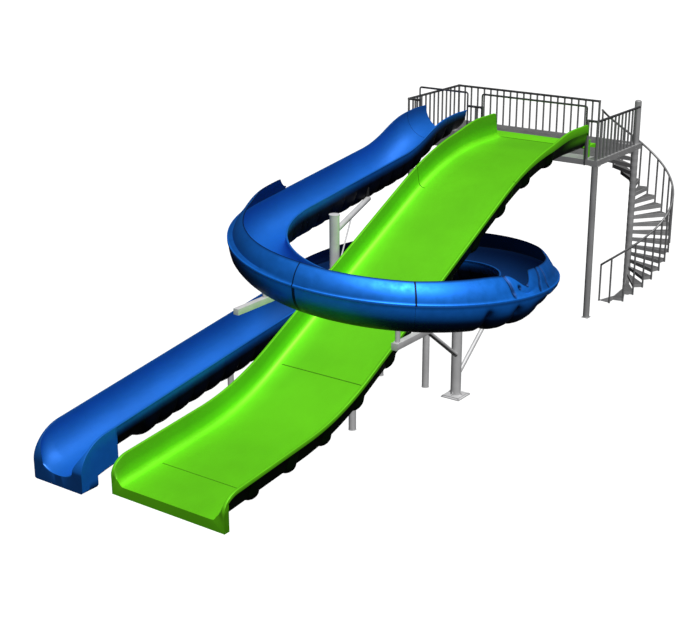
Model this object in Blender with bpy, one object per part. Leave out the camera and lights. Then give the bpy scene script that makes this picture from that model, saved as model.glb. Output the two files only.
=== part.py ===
"""Water slide tower: a railed steel platform with a spiral stair, a wide open slide and a looping half-pipe.

Metres, +Z up. X runs along the platform's front edge, +Y points from the slide outlets to the platform,
and the origin is on the ground below the middle of the whole object.
"""
import math

import bmesh
import bpy
from mathutils import Matrix, Vector

# Clearances and laminate
SEAT_GAP = 0.0003
SHELL = 0.02
FLANGE_DEPTH = 0.03

# Platform
DECK_X = (-4.30, 1.82)
DECK_Y = (5.895, 8.80)
DECK_TOP = 4.50
DECK_DEPTH = 0.155
DECK_BORDER = 0.07
DECK_PLATE_DROP = 0.05
DECK_PLATE = 0.03
DECK_BAYS = 5
POST_RADIUS = 0.09
FRONT_POST_INSET = 0.10

# Railings
RAIL_TOP = 5.59
RAIL_RADIUS = 0.034
BALUSTER_RADIUS = 0.027
BALUSTER_PITCH = 0.23
RAIL_INSET = 0.035
HEADER_TOP = 5.97
HEADER_RADIUS = 0.0235
HEADER_Y = DECK_Y[0] - SEAT_GAP - HEADER_RADIUS * math.cos(math.pi / 8)
BLUE_HEADER_X = (-3.85, -2.25)
GREEN_HEADER_X = (-1.778, 1.457)
REAR_RAIL_END_X = 0.46

# Spiral stair
RISERS = 21
RISE = DECK_TOP / RISERS
STAIR_CENTRE = Vector((1.69, 8.67, 0.0))
STAIR_COLUMN_RADIUS = 0.095
STAIR_COLUMN_TOP = 5.74
STAIR_RADIUS = 1.132
TREAD_TURN = 13.4
TREAD_OVERLAP = 2.0
TREAD_DEPTH = 0.11
LAST_EDGE = 186.0
HANDRAIL_START = -106.0
SECOND_NEWEL = -89.0
HANDRAIL_END = 173.5
HANDRAIL_FOOT_TOP = 1.09
HANDRAIL_CLIMB = 0.0151

# Wide slide: centre line in plan, floor profile (Y, Z) and blend lengths at its inner corners
SLIDE_START_Y = -9.645
SLIDE_END_Y = 5.844
SLIDE_CENTRE_X = (0.23, 0.095)
SLIDE_EDGE_HALF = (1.51, 1.455)
SLIDE_PROFILE = ((-9.645, 0.23), (-5.74, 0.563), (3.02, 4.82), (5.844, 4.82))
SLIDE_BLENDS = (1.15, 1.8)
SLIDE_FLOOR_HALF = 1.17
FILLET_WIDTH = 0.175
FILLET_HEIGHT = 0.136
FILLET_MIDDLE = (0.35, 0.33)
RIM_HEIGHT = 0.52
RIM_HEIGHT_TOP = 0.65
RIM_RISE_Y = (3.6, 5.1)
RIM_FLANGE = 0.07
RIM_LIP = 0.06
RIM_FRONT = 0.04
RIM_FRONT_SETBACK = 0.03
RIM_FRONT_LENGTH = 0.445
SLIDE_FOOT_LENGTH = 0.15
SLIDE_FOOT_INSET = 0.014
SLIDE_RIB_DEPTH = 0.09
SLIDE_RIB_HALF = 0.10
SLIDE_RIB_CREST = 0.69
SLIDE_RIB_FIRST_Y = -8.55
SLIDE_RIB_PITCH = 1.23
SLIDE_RIB_COUNT = 11
SLIDE_JOINTS_Y = (-8.47, -4.35, 1.75)
SLIDE_STEP = 1.4
SILL_LENGTH = 0.70
SILL_INSET = 0.03

# Half-pipe
PIPE_RADIUS = 0.66
PIPE_RIM = 0.75
PIPE_RIM_DECK = 0.65
PIPE_RIM_DROP_Y = (3.9, 5.2)
PIPE_STEP = 2.2
PIPE_FLANGE_HALF = 0.705
PIPE_ARC_STEPS = 8
ENTRY_X = -2.95
EXIT_X = -2.43
ENTRY_PROFILE = ((-1.61, 3.446), (3.15, 4.05), (4.85, 4.80), (5.844, 4.80))
ENTRY_BLENDS = (0.5, 0.6)
ENTRY_JOINT_Y = 4.85
LOOP_CENTRE = Vector((0.25, -1.61, 0.0))
LOOP_RADIUS = 3.2
LOOP_STEP = 10
LOOP_BOTTOMS = (3.446, 1.394)
LOOP_SLOPES = (-2.41, -2.55)
LOOP_JOINTS = (180, 270, 360, 450, 540)
OUTLET_FRONT_Y = -10.042
OUTLET_BOTTOM = 0.256
EXIT_SLOPE = 0.135
OUTLET_RIM = 0.16
OUTLET_RIM_LENGTH = 0.75
OUTLET_FOOT_LENGTH = 0.462
OUTLET_BOX_LENGTH = 1.07
OUTLET_BOX_BASES = (0.22, 0.28, 0.33)
EXIT_JOINTS_Y = (-8.6, -5.1)

# Splash walls on the half-pipe's outer rim
SPLASH_TOP_ANGLES = ((180, 66), (225, 57), (310, 55), (348, 64), (363, 64), (390, 55), (540, 55))
SPLASH_ARC_STEPS = 4
SPLASH_START_Y = -0.78
NOTCH_ANGLES = (348, 354.5, 363)
NOTCH_SHARE = 0.35
SPLASH_END_ANGLES = (528, 539)

# Supports
COLUMN_SIDES = 16
MAIN_COLUMN = Vector((1.72, -1.06, 0.0))
MAIN_COLUMN_RADIUS = 0.125
MAIN_COLUMN_TOP = 2.30
MAIN_CAP_HALF = 0.14
BASE_SIZE = (0.50, 0.55)
GUSSET_REACH = 0.07
GUSSET_TOP = 0.15
ARM_HALF = 0.075
FRONT_ARM_OFFSET = 0.13
FRONT_ARM_TIP_Y = -3.95
FRONT_ARM_TOP = 2.23
REAR_ARM_TIP_Y = 1.44
REAR_ARM_TOP = 1.77
STUB_RADIUS = 0.06
STUB_INSET = 0.12
LOOP_COLUMN = Vector((-1.57, -1.48, 0.0))
LOOP_COLUMN_RADIUS = 0.125
LOOP_COLUMN_TOP = 4.10
LOOP_ARM_TIP_Y = -5.25
LOOP_ARM_Z = 2.65
LOOP_STUB_Y = -4.2
BRACE_ROOT_Z = 3.65
BRACE_TIP = Vector((-2.35, 1.10, 3.85))
BRACE_RADIUS = 0.06
STAY_FOOT_ANGLE = 530
STAY_RADIUS = 0.012
SLIDE_POST_RADIUS = 0.085
SLIDE_POST_Y = (-1.01, -4.14)
SLIDE_POST_SPREAD = 0.67
SLIDE_BEAM_DROP = 0.20
RUNOUT_POST_Y = -4.5
RUNOUT_POST_RADIUS = 0.075
SADDLE_FRONT_Y = 5.70
SADDLE_HALF = 0.40
SADDLE_TOP = 4.85

# Colours as red, green, blue; then roughness and metallic
FINISHES = {
    "green_gelcoat": ((0.14, 0.68, 0.014), 0.25, 0.0),
    "blue_gelcoat": ((0.012, 0.10, 0.55), 0.22, 0.0),
    "dark_steel": ((0.05, 0.05, 0.055), 0.45, 0.6),
    "grey_steel": ((0.55, 0.55, 0.56), 0.40, 0.7),
}

ORIGIN_SHIFT = Vector((0.0725, 0.0934, 0.0))
PARTS_COLLECTION = "water_slide_tower"
TOOLS_COLLECTION = "cutters"


# Scene set-up

def clear_scene():
    for item in list(bpy.data.objects):
        bpy.data.objects.remove(item, do_unlink=True)


def new_collection(name):
    collection = bpy.data.collections.new(name)
    bpy.context.scene.collection.children.link(collection)
    return collection


def make_material(name):
    colour, roughness, metallic = FINISHES[name]
    material = bpy.data.materials.new(name)
    material.use_nodes = True
    shader = material.node_tree.nodes["Principled BSDF"]
    shader.inputs["Base Color"].default_value = (*colour, 1.0)
    shader.inputs["Roughness"].default_value = roughness
    shader.inputs["Metallic"].default_value = metallic
    return material


def add_mesh_object(name, bm, material, collection):
    """Turns a bmesh into a named object with smooth shading on its gentle edges."""
    bmesh.ops.recalc_face_normals(bm, faces=bm.faces)
    mesh = bpy.data.meshes.new(name)
    bm.to_mesh(mesh)
    bm.free()
    mesh.shade_smooth()
    mesh.set_sharp_from_angle(angle=math.radians(35))
    item = bpy.data.objects.new(name, mesh)
    item.data.materials.append(material)
    collection.objects.link(item)
    if collection.name == TOOLS_COLLECTION:
        item.hide_render = True
        item.display_type = "WIRE"
    return item


# Shapes that are added to a bmesh

def rod(start, end, radius, sides=8, turn=0.0):
    """A capped cylinder between two points; turn rotates it about its own axis."""
    def build(bm):
        first, last = Vector(start), Vector(end)
        axis = last - first
        placing = Matrix.Translation((first + last) / 2) @ axis.to_track_quat("Z", "Y").to_matrix().to_4x4()
        placing = placing @ Matrix.Rotation(turn, 4, "Z")
        bmesh.ops.create_cone(bm, cap_ends=True, segments=sides, radius1=radius, radius2=radius,
                              depth=axis.length, matrix=placing)
    return build


def block(low, high):
    """A box between two opposite corners."""
    def build(bm):
        low_corner, high_corner = Vector(low), Vector(high)
        size = high_corner - low_corner
        placing = Matrix.Translation((low_corner + high_corner) / 2) @ Matrix.Diagonal((*size, 1.0))
        bmesh.ops.create_cube(bm, size=1.0, matrix=placing)
    return build


def solid(name, shapes, material, collection):
    bm = bmesh.new()
    for shape in shapes:
        shape(bm)
    return add_mesh_object(name, bm, material, collection)


def combine(item, other, operation):
    modifier = item.modifiers.new(operation.lower() + "_" + other.name, "BOOLEAN")
    modifier.operation = operation
    modifier.solver = "EXACT"
    modifier.object = other


def welded(name, material, *layers):
    """One body from layers of shapes; the shapes inside a layer stay clear of each other."""
    item = solid(name, layers[0], material, parts)
    for index, layer in enumerate(layers[1:]):
        combine(item, solid(f"{name}_weld_{index}", layer, material, tools), "UNION")
    return item


# Lofts between unlike sections

def split_quad(bm, a, b, c, d):
    """Two triangles in place of a quad that may be twisted, always on the same diagonal."""
    bm.faces.new((a, b, c))
    bm.faces.new((a, c, d))


def loft_shell(name, sections, material):
    """A closed shell through sections, each an inner and an outer line with the same number of points."""
    bm = bmesh.new()
    rows = [[[bm.verts.new(point) for point in line] for line in section] for section in sections]
    for (inner, outer), (next_inner, next_outer) in zip(rows, rows[1:]):
        for line, next_line in ((inner, next_inner), (outer, next_outer)):
            for index in range(len(line) - 1):
                split_quad(bm, line[index], line[index + 1], next_line[index + 1], next_line[index])
        for end in (0, -1):
            split_quad(bm, outer[end], inner[end], next_inner[end], next_outer[end])
    for inner, outer in (rows[0], rows[-1]):
        for index in range(len(inner) - 1):
            bm.faces.new((inner[index], inner[index + 1], outer[index + 1], outer[index]))
    return add_mesh_object(name, bm, material, parts)


def loft_core(name, rings, material):
    """A filled cutter through closed rings of points."""
    bm = bmesh.new()
    rows = [[bm.verts.new(point) for point in ring] for ring in rings]
    for ring, next_ring in zip(rows, rows[1:]):
        for index in range(len(ring)):
            after = (index + 1) % len(ring)
            split_quad(bm, ring[index], ring[after], next_ring[after], next_ring[index])
    bm.faces.new(rows[0])
    bm.faces.new(rows[-1])
    return add_mesh_object(name, bm, material, tools)


def profile_height(y, profile, blends):
    """Height on a line of straight runs whose inner corners are eased by vertical curves."""
    slopes = [(b[1] - a[1]) / (b[0] - a[0]) for a, b in zip(profile, profile[1:])]
    height = profile[0][1] + slopes[0] * (y - profile[0][0])
    for index, blend in enumerate(blends):
        corner = profile[index + 1][0]
        change = slopes[index + 1] - slopes[index]
        height += change * max(0.0, y - corner)
        height += change * max(0.0, blend - abs(y - corner)) ** 2 / (4 * blend)
    return height


def spaced(start, end, pitch):
    """Even steps from start to end, no longer than pitch."""
    count = max(1, math.ceil(abs(end - start) / pitch))
    return [start + (end - start) * index / count for index in range(count + 1)]


def ramp(value, low, high):
    return min(1.0, max(0.0, (value - low) / (high - low)))


# Wide slide

def slide_centre(y):
    first, last = SLIDE_CENTRE_X
    return first + (last - first) * ramp(y, SLIDE_START_Y, SLIDE_END_Y)


def slide_rim(y):
    """Height of the rim above the floor: rounded down at the outlet, higher near the platform."""
    front = max(0.0, y - SLIDE_START_Y - RIM_FRONT_SETBACK)
    height = RIM_HEIGHT + (RIM_HEIGHT_TOP - RIM_HEIGHT) * ramp(y, *RIM_RISE_Y)
    rounding = min(1.0, front / RIM_FRONT_LENGTH)
    return RIM_FRONT + (height - RIM_FRONT) * math.sqrt(1 - (1 - rounding) ** 2)


def slide_edge(y):
    """Half of the overall width."""
    first, last = SLIDE_EDGE_HALF
    return first + (last - first) * ramp(y, SLIDE_START_Y, SLIDE_END_Y)


def slide_ribs():
    return [SLIDE_RIB_FIRST_Y + SLIDE_RIB_PITCH * index for index in range(SLIDE_RIB_COUNT)]


def slide_thickness(y):
    """Shell thickness under the floor, with the deep ribs."""
    nearest = min(abs(y - rib) for rib in slide_ribs())
    on_crest = nearest < SLIDE_RIB_HALF * (SLIDE_RIB_CREST + 0.01)
    return SHELL + (SLIDE_RIB_DEPTH if on_crest else 0.0)


def slide_half_section(y, extra=0.0):
    """Half of the section at y as an inner and an outer line of (offset, height), from rim to middle."""
    rim = slide_rim(y)
    lip = rim - RIM_LIP
    side = slide_edge(y)
    wall = side - RIM_FLANGE
    fillet = min(FILLET_HEIGHT, 0.8 * rim)
    edge = SLIDE_FLOOR_HALF + FILLET_WIDTH
    middle = edge - FILLET_WIDTH * FILLET_MIDDLE[0]
    middle_height = fillet * FILLET_MIDDLE[1]
    inner = [(side, rim), (wall, rim), (edge, fillet), (middle, middle_height), (SLIDE_FLOOR_HALF, 0.0)]
    depth = slide_thickness(y) + extra
    outer = [(side, lip), (wall + min(depth, 0.8 * RIM_FLANGE), lip), (edge + depth, fillet - 0.3 * depth),
             (middle + 0.6 * depth, middle_height - 0.8 * depth), (SLIDE_FLOOR_HALF, -depth)]
    return inner, outer


def slide_foot_line(y):
    """Outer half line where the outlet's front plate stands on the ground."""
    lip = slide_rim(y) - RIM_LIP
    floor = profile_height(y, SLIDE_PROFILE, SLIDE_BLENDS)
    side = slide_edge(y) - SLIDE_FOOT_INSET
    heights = [lip + (-floor - lip) * share for share in (0.0, 0.4, 0.7, 1.0)]
    return [(slide_edge(y), lip)] + [(side, height) for height in heights]


def slide_section(y, foot=False):
    """Inner and outer lines of the full section in space."""
    inner, outer = slide_half_section(y)
    if foot:
        outer = slide_foot_line(y)
    floor = profile_height(y, SLIDE_PROFILE, SLIDE_BLENDS)
    centre = slide_centre(y)
    lines = []
    for half in (inner, outer):
        left = [Vector((centre - offset, y, floor + height)) for offset, height in half]
        right = [Vector((centre + offset, y, floor + height)) for offset, height in reversed(half)]
        lines.append(left + right)
    return lines


def slide_stations(start, end):
    """Section places between two joints: even steps on the curves and four sections at each rib."""
    places = {start, end}
    places.update(spaced(start, end, SLIDE_STEP))
    for corner, blend in zip(SLIDE_PROFILE[1:3], SLIDE_BLENDS):
        places.update(spaced(corner[0] - blend, corner[0] + blend, blend / 3))
    kept = [y for y in places if start <= y <= end
            and all(abs(y - rib) > SLIDE_RIB_HALF + 0.03 for rib in slide_ribs())]
    for rib in slide_ribs():
        kept.extend(rib + side * SLIDE_RIB_HALF * share for side in (-1, 1)
                    for share in (SLIDE_RIB_CREST, 1.0))
    ordered = sorted({round(y, 4) for y in kept if start <= y <= end} | {start, end})
    return [y for y, after in zip(ordered, ordered[1:] + [math.inf]) if after - y > 0.01 or y == end]


def build_slide():
    green = materials["green_gelcoat"]
    foot_steps = (0.0, 0.03, 0.045, 0.075, 0.11, SLIDE_FOOT_LENGTH)
    sections = [slide_section(SLIDE_START_Y + step, foot=True) for step in foot_steps]
    sections += [slide_section(SLIDE_START_Y + step) for step in (SLIDE_FOOT_LENGTH + 0.02, 0.25, 0.35)]
    rounded_end = SLIDE_START_Y + RIM_FRONT_SETBACK + RIM_FRONT_LENGTH
    sections += [slide_section(y) for y in slide_stations(rounded_end, SLIDE_JOINTS_Y[0])]
    loft_shell("green_outlet", sections, green)
    bounds = list(SLIDE_JOINTS_Y) + [SLIDE_END_Y]
    for name, start, end in zip(("green_lower", "green_middle", "green_upper"), bounds, bounds[1:]):
        stations = slide_stations(start + SEAT_GAP, end)
        loft_shell(name, [slide_section(y) for y in stations], green)
    build_sill(green)


def build_sill(green):
    """The start panel: a tray standing on the platform behind the slide's upper end."""
    top = SLIDE_PROFILE[-1][1]
    low_x = GREEN_HEADER_X[0] + SILL_INSET
    high_x = GREEN_HEADER_X[1] - SILL_INSET
    front = SLIDE_END_Y + SEAT_GAP
    back = DECK_Y[0] + SILL_LENGTH
    deck_floor = DECK_TOP - DECK_PLATE_DROP + SEAT_GAP
    border = DECK_TOP + SEAT_GAP
    tray = solid("green_sill", [block((low_x, front, deck_floor), (high_x, back, top))], green, parts)
    hollow_front = DECK_Y[0] + DECK_BORDER + SEAT_GAP
    hollow = [block((low_x + SHELL, hollow_front, deck_floor - 0.1), (high_x - SHELL, back - SHELL, top - SHELL)),
              block((low_x - 0.1, front - 0.1, deck_floor - 0.15), (high_x + 0.1, hollow_front, border))]
    for index, shape in enumerate(hollow):
        combine(tray, solid(f"sill_hollow_{index}", [shape], green, tools), "DIFFERENCE")


def slide_core():
    """Filled body of the wide slide, used to trim what carries it."""
    rings = []
    for y in slide_stations(SLIDE_JOINTS_Y[0], SLIDE_END_Y):
        outer = slide_half_section(y, SEAT_GAP)[1][1:]
        floor = profile_height(y, SLIDE_PROFILE, SLIDE_BLENDS)
        centre = slide_centre(y)
        left = [Vector((centre - offset, y, floor + height)) for offset, height in outer]
        right = [Vector((centre + offset, y, floor + height)) for offset, height in reversed(outer)]
        rings.append(left + right)
    return loft_core("slide_core", rings, materials["green_gelcoat"])


# Half-pipe stations: origin at the pipe's bottom, outward direction and rim height

def entry_station(y):
    bottom = profile_height(y, ENTRY_PROFILE, ENTRY_BLENDS)
    rim = PIPE_RIM + (PIPE_RIM_DECK - PIPE_RIM) * ramp(y, *PIPE_RIM_DROP_Y)
    return Vector((ENTRY_X, y, bottom)), Vector((-1, 0, 0)), rim


def loop_station(angle):
    """A place on the loop; the angle runs anticlockwise from 180 to 540 degrees."""
    share = (angle - LOOP_JOINTS[0]) / 360
    square, cube = share ** 2, share ** 3
    bottom = ((2 * cube - 3 * square + 1) * LOOP_BOTTOMS[0] + (cube - 2 * square + share) * LOOP_SLOPES[0]
              + (3 * square - 2 * cube) * LOOP_BOTTOMS[1] + (cube - square) * LOOP_SLOPES[1])
    closing = ramp(angle, 450, 540)
    tighten = closing ** 2 * (3 - 2 * closing)
    radius = LOOP_RADIUS + (LOOP_CENTRE.x - EXIT_X - LOOP_RADIUS) * tighten
    turn = math.radians(angle)
    outward = Vector((math.cos(turn), math.sin(turn), 0))
    return LOOP_CENTRE + outward * radius + Vector((0, 0, bottom)), outward, PIPE_RIM


def exit_station(y):
    bottom = OUTLET_BOTTOM + EXIT_SLOPE * (y - OUTLET_FRONT_Y)
    rounding = min(1.0, (y - OUTLET_FRONT_Y) / OUTLET_RIM_LENGTH)
    rim = OUTLET_RIM + (PIPE_RIM - OUTLET_RIM) * math.sqrt(1 - (1 - rounding) ** 2)
    return Vector((EXIT_X, y, bottom)), Vector((-1, 0, 0)), rim


def in_space(station, line):
    origin, outward, _ = station
    return [origin + outward * offset + Vector((0, 0, height)) for offset, height in line]


def pipe_lines(rim, extra=0.0):
    """Inner and outer lines of the half-pipe section, from the outer flange to the inner one."""
    hub = min(PIPE_RADIUS, rim - 0.04)
    skin = SHELL + extra
    angles = [math.pi * index / PIPE_ARC_STEPS for index in range(PIPE_ARC_STEPS + 1)]
    reach = min(1.0, 0.55 + 0.45 * rim / PIPE_RIM) if rim < 0.5 else 1.0
    inner_arc = [(PIPE_RADIUS * reach * math.cos(a), hub - hub * math.sin(a)) for a in angles]
    outer_arc = [((PIPE_RADIUS * reach + skin) * math.cos(a), hub - (hub + skin) * math.sin(a)) for a in angles]
    flange = PIPE_FLANGE_HALF
    wall = PIPE_RADIUS * reach
    under = rim - FLANGE_DEPTH
    inner = [(flange, rim), (wall, rim), *inner_arc, (-wall, rim), (-flange, rim)]
    outer = [(flange, under), (wall + skin, under), *outer_arc, (-wall - skin, under), (-flange, under)]
    return inner, outer


def pipe_section(station):
    return [in_space(station, line) for line in pipe_lines(station[2])]


def outlet_section(station, base):
    """Section where the outlet is boxed in: straight sides down to the height base."""
    inner, outer = pipe_lines(station[2])
    drop = base - station[0].z
    side = PIPE_FLANGE_HALF
    under = station[2] - FLANGE_DEPTH
    boxed = []
    for index, (offset, _) in enumerate(outer):
        share = min(index, len(outer) - 1 - index) / 3
        height = under + (drop - under) * min(1.0, share)
        boxed.append((math.copysign(side, offset) if share <= 1.0 else offset * 0.9, height))
    return [in_space(station, inner), in_space(station, boxed)]


def pipe_core(name, stations):
    rings = []
    for station in stations:
        outer = pipe_lines(station[2], SEAT_GAP)[1][1:-1]
        rings.append(in_space(station, outer))
    return loft_core(name, rings, materials["blue_gelcoat"])


def flange_core(name, stations):
    """The inner flange of the half-pipe, to trim what stands on it."""
    rings = []
    for station in stations:
        top, low = station[2] + SEAT_GAP, station[2] - FLANGE_DEPTH
        corners = [(-PIPE_RADIUS, top), (-PIPE_FLANGE_HALF, top), (-PIPE_FLANGE_HALF, low), (-PIPE_RADIUS, low)]
        rings.append(in_space(station, corners))
    return loft_core(name, rings, materials["blue_gelcoat"])


def build_outlet(blue):
    """The boxed outlet: a foot on the ground, then a raised box, then the plain half-pipe."""
    front = OUTLET_FRONT_Y
    foot_end = front + OUTLET_FOOT_LENGTH
    box_end = front + OUTLET_BOX_LENGTH
    sections = []
    for step in (0.0, 0.04, 0.14, 0.3, OUTLET_FOOT_LENGTH):
        sections.append(outlet_section(exit_station(front + step), 0.0))
    for y, base in zip((foot_end + 0.02, front + OUTLET_RIM_LENGTH, box_end), OUTLET_BOX_BASES):
        sections.append(outlet_section(exit_station(y), base))
    sections += [pipe_section(exit_station(y)) for y in (box_end + 0.02, EXIT_JOINTS_Y[0] - SEAT_GAP)]
    loft_shell("blue_outlet", sections, blue)


def loop_angles(start, end):
    """Even steps and the ends of the splash walls, so that pieces which meet share their sections."""
    steps = set(range(LOOP_JOINTS[0], LOOP_JOINTS[-1] + 1, LOOP_STEP))
    steps.update(NOTCH_ANGLES, SPLASH_END_ANGLES)
    return [start] + sorted(angle for angle in steps if start < angle < end) + [end]


def joint_angle(angle):
    """The angle that leaves the seat gap before a joint on the loop."""
    return angle - math.degrees(SEAT_GAP / LOOP_RADIUS)


def build_half_pipe():
    blue = materials["blue_gelcoat"]
    build_outlet(blue)
    runout = [exit_station(y) for y in spaced(EXIT_JOINTS_Y[0], EXIT_JOINTS_Y[1] - SEAT_GAP, PIPE_STEP)]
    loft_shell("blue_runout", [pipe_section(place) for place in runout], blue)
    leaving = [exit_station(y) for y in spaced(EXIT_JOINTS_Y[1], LOOP_CENTRE.y - SEAT_GAP, PIPE_STEP)]
    loft_shell("blue_exit", [pipe_section(place) for place in leaving], blue)
    for index, (start, end) in enumerate(zip(LOOP_JOINTS, LOOP_JOINTS[1:])):
        places = [loop_station(angle) for angle in loop_angles(start, joint_angle(end))]
        loft_shell(f"blue_loop_{index + 1}", [pipe_section(place) for place in places], blue)
    dip = ENTRY_PROFILE[1][0]
    entry = spaced(LOOP_CENTRE.y + SEAT_GAP, dip - ENTRY_BLENDS[0], PIPE_STEP)
    entry += [dip - ENTRY_BLENDS[0] / 2, dip, dip + ENTRY_BLENDS[0] / 2, dip + ENTRY_BLENDS[0]]
    entry += [ENTRY_JOINT_Y - ENTRY_BLENDS[1], ENTRY_JOINT_Y - ENTRY_BLENDS[1] / 2, ENTRY_JOINT_Y - SEAT_GAP]
    loft_shell("blue_entry", [pipe_section(entry_station(y)) for y in entry], blue)
    top = spaced(ENTRY_JOINT_Y, ENTRY_JOINT_Y + ENTRY_BLENDS[1], ENTRY_BLENDS[1] / 2) + [SLIDE_END_Y]
    loft_shell("blue_entry_top", [pipe_section(entry_station(y)) for y in top], blue)


# Splash walls

def splash_top(angle):
    """How far the wall curls over the pipe, in degrees of the pipe's round, at an angle of the loop."""
    for (start, first), (end, last) in zip(SPLASH_TOP_ANGLES, SPLASH_TOP_ANGLES[1:]):
        if angle <= end:
            return first + (last - first) * ramp(angle, start, end)
    return SPLASH_TOP_ANGLES[-1][1]


def splash_section(station, share, full_angle):
    """Wall that carries the pipe's curve upwards; share is its height from nothing to full."""
    rim = station[2] + SEAT_GAP
    hub = PIPE_RADIUS
    base_angle = math.degrees(math.asin((rim + FLANGE_DEPTH - hub) / PIPE_RADIUS))
    top_angle = base_angle + 4 + (full_angle - base_angle - 4) * share
    inner = [(PIPE_RADIUS, rim), (PIPE_RADIUS, rim + FLANGE_DEPTH)]
    outer = [(PIPE_FLANGE_HALF, rim), (PIPE_FLANGE_HALF, rim + FLANGE_DEPTH)]
    for index in range(SPLASH_ARC_STEPS + 1):
        angle = math.radians(base_angle + 1 + (top_angle - base_angle - 1) * index / SPLASH_ARC_STEPS)
        inner.append((PIPE_RADIUS * math.cos(angle), hub + PIPE_RADIUS * math.sin(angle)))
        outside = PIPE_RADIUS + SHELL
        outer.append((outside * math.cos(angle), hub + outside * math.sin(angle)))
    return [in_space(station, inner), in_space(station, outer)]


def build_splash_walls():
    blue = materials["blue_gelcoat"]
    notch_start, notch_low, notch_end = NOTCH_ANGLES
    falling, last = SPLASH_END_ANGLES
    first = [(entry_station(SPLASH_START_Y), 0.0, splash_top(LOOP_JOINTS[0]))]
    for angle in loop_angles(LOOP_JOINTS[0], joint_angle(notch_low)):
        share = 1.0 - (1.0 - NOTCH_SHARE) * ramp(angle, notch_start, notch_low)
        first.append((loop_station(angle), share, splash_top(angle)))
    loft_shell("splash_wall_outer", [splash_section(*place) for place in first], blue)
    second = []
    for angle in loop_angles(notch_low, last):
        share = NOTCH_SHARE + (1.0 - NOTCH_SHARE) * ramp(angle, notch_low, notch_end)
        share = min(share, 1.0 - ramp(angle, falling, last))
        second.append((loop_station(angle), share, splash_top(angle)))
    loft_shell("splash_wall_inner", [splash_section(*place) for place in second], blue)


# Platform

def build_deck():
    steel = materials["dark_steel"]
    low = (DECK_X[0], DECK_Y[0], DECK_TOP - DECK_DEPTH)
    deck = solid("deck", [block(low, (DECK_X[1], DECK_Y[1], DECK_TOP))], steel, parts)
    plate_top = DECK_TOP - DECK_PLATE_DROP
    pocket = block((DECK_X[0] + DECK_BORDER, DECK_Y[0] + DECK_BORDER, plate_top),
                   (DECK_X[1] - DECK_BORDER, DECK_Y[1] - DECK_BORDER, DECK_TOP + 0.1))
    combine(deck, solid("deck_pocket", [pocket], steel, tools), "DIFFERENCE")
    bay = (DECK_X[1] - DECK_X[0] - DECK_BORDER) / DECK_BAYS
    bays = []
    for index in range(DECK_BAYS):
        left = DECK_X[0] + DECK_BORDER + bay * index
        bays.append(block((left, DECK_Y[0] + DECK_BORDER, low[2] - 0.1),
                          (left + bay - DECK_BORDER, DECK_Y[1] - DECK_BORDER, plate_top - DECK_PLATE)))
    combine(deck, solid("deck_bays", bays, steel, tools), "DIFFERENCE")
    hole = rod(STAIR_CENTRE + Vector((0, 0, 4)), STAIR_CENTRE + Vector((0, 0, 5)),
               STAIR_COLUMN_RADIUS + SEAT_GAP, COLUMN_SIDES)
    corner = block((STAIR_CENTRE.x - 0.13, STAIR_CENTRE.y - 0.13, low[2]), (DECK_X[1], DECK_Y[1], DECK_TOP))
    combine(deck, solid("deck_corner", [corner], steel, tools), "UNION")
    combine(deck, solid("deck_column_hole", [hole], steel, tools), "DIFFERENCE")


def build_saddle():
    """The cradle on the platform's front edge that carries the half-pipe's upper end."""
    steel = materials["dark_steel"]
    shape = block((ENTRY_X - SADDLE_HALF, SADDLE_FRONT_Y, DECK_TOP - DECK_DEPTH),
                  (ENTRY_X + SADDLE_HALF, DECK_Y[0] - SEAT_GAP, SADDLE_TOP))
    level = [entry_station(y) for y in (ENTRY_JOINT_Y + ENTRY_BLENDS[1], DECK_Y[0] + 0.1)]
    combine(solid("entry_saddle", [shape], steel, parts), pipe_core("saddle_round", level), "DIFFERENCE")


def build_deck_posts():
    steel = materials["dark_steel"]
    top = DECK_TOP - DECK_DEPTH - SEAT_GAP
    inset = FRONT_POST_INSET
    places = {
        "deck_post_front_left": (DECK_X[0] + inset, DECK_Y[0] + inset),
        "deck_post_front_right": (DECK_X[1] - inset, DECK_Y[0] + inset),
        "deck_post_rear_left": (DECK_X[0] + inset, DECK_Y[1] - inset),
    }
    for name, (x, y) in places.items():
        shaft = rod((x, y, 0), (x, y, top), POST_RADIUS, COLUMN_SIDES)
        plate = block((x - 0.10, y - 0.10, 0), (x + 0.10, y + 0.10, 0.012))
        welded(name, steel, [shaft], [plate])


# Railings

def balusters(start, end, low, high):
    """Evenly pitched uprights between two plan points, clear of both ends."""
    first, last = Vector((*start, 0)), Vector((*end, 0))
    count = max(1, round((last - first).length / BALUSTER_PITCH))
    shapes = []
    for index in range(1, count):
        place = first.lerp(last, index / count)
        shapes.append(rod((place.x, place.y, low), (place.x, place.y, high), BALUSTER_RADIUS, 6))
    return shapes


def rail_panel(name, start, end, posts):
    """A railing: a top rail on balusters that stand on the deck, and posts at the listed plan points."""
    steel = materials["dark_steel"]
    high = RAIL_TOP - RAIL_RADIUS
    feet = DECK_TOP + SEAT_GAP
    uprights = [rod((x, y, feet), (x, y, high + 0.004), RAIL_RADIUS * 0.97, 8) for x, y in posts]
    rail = rod((*start, high), (*end, high), RAIL_RADIUS, 8)
    return welded(name, steel, [rail], uprights, balusters(start, end, feet, high))


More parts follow.
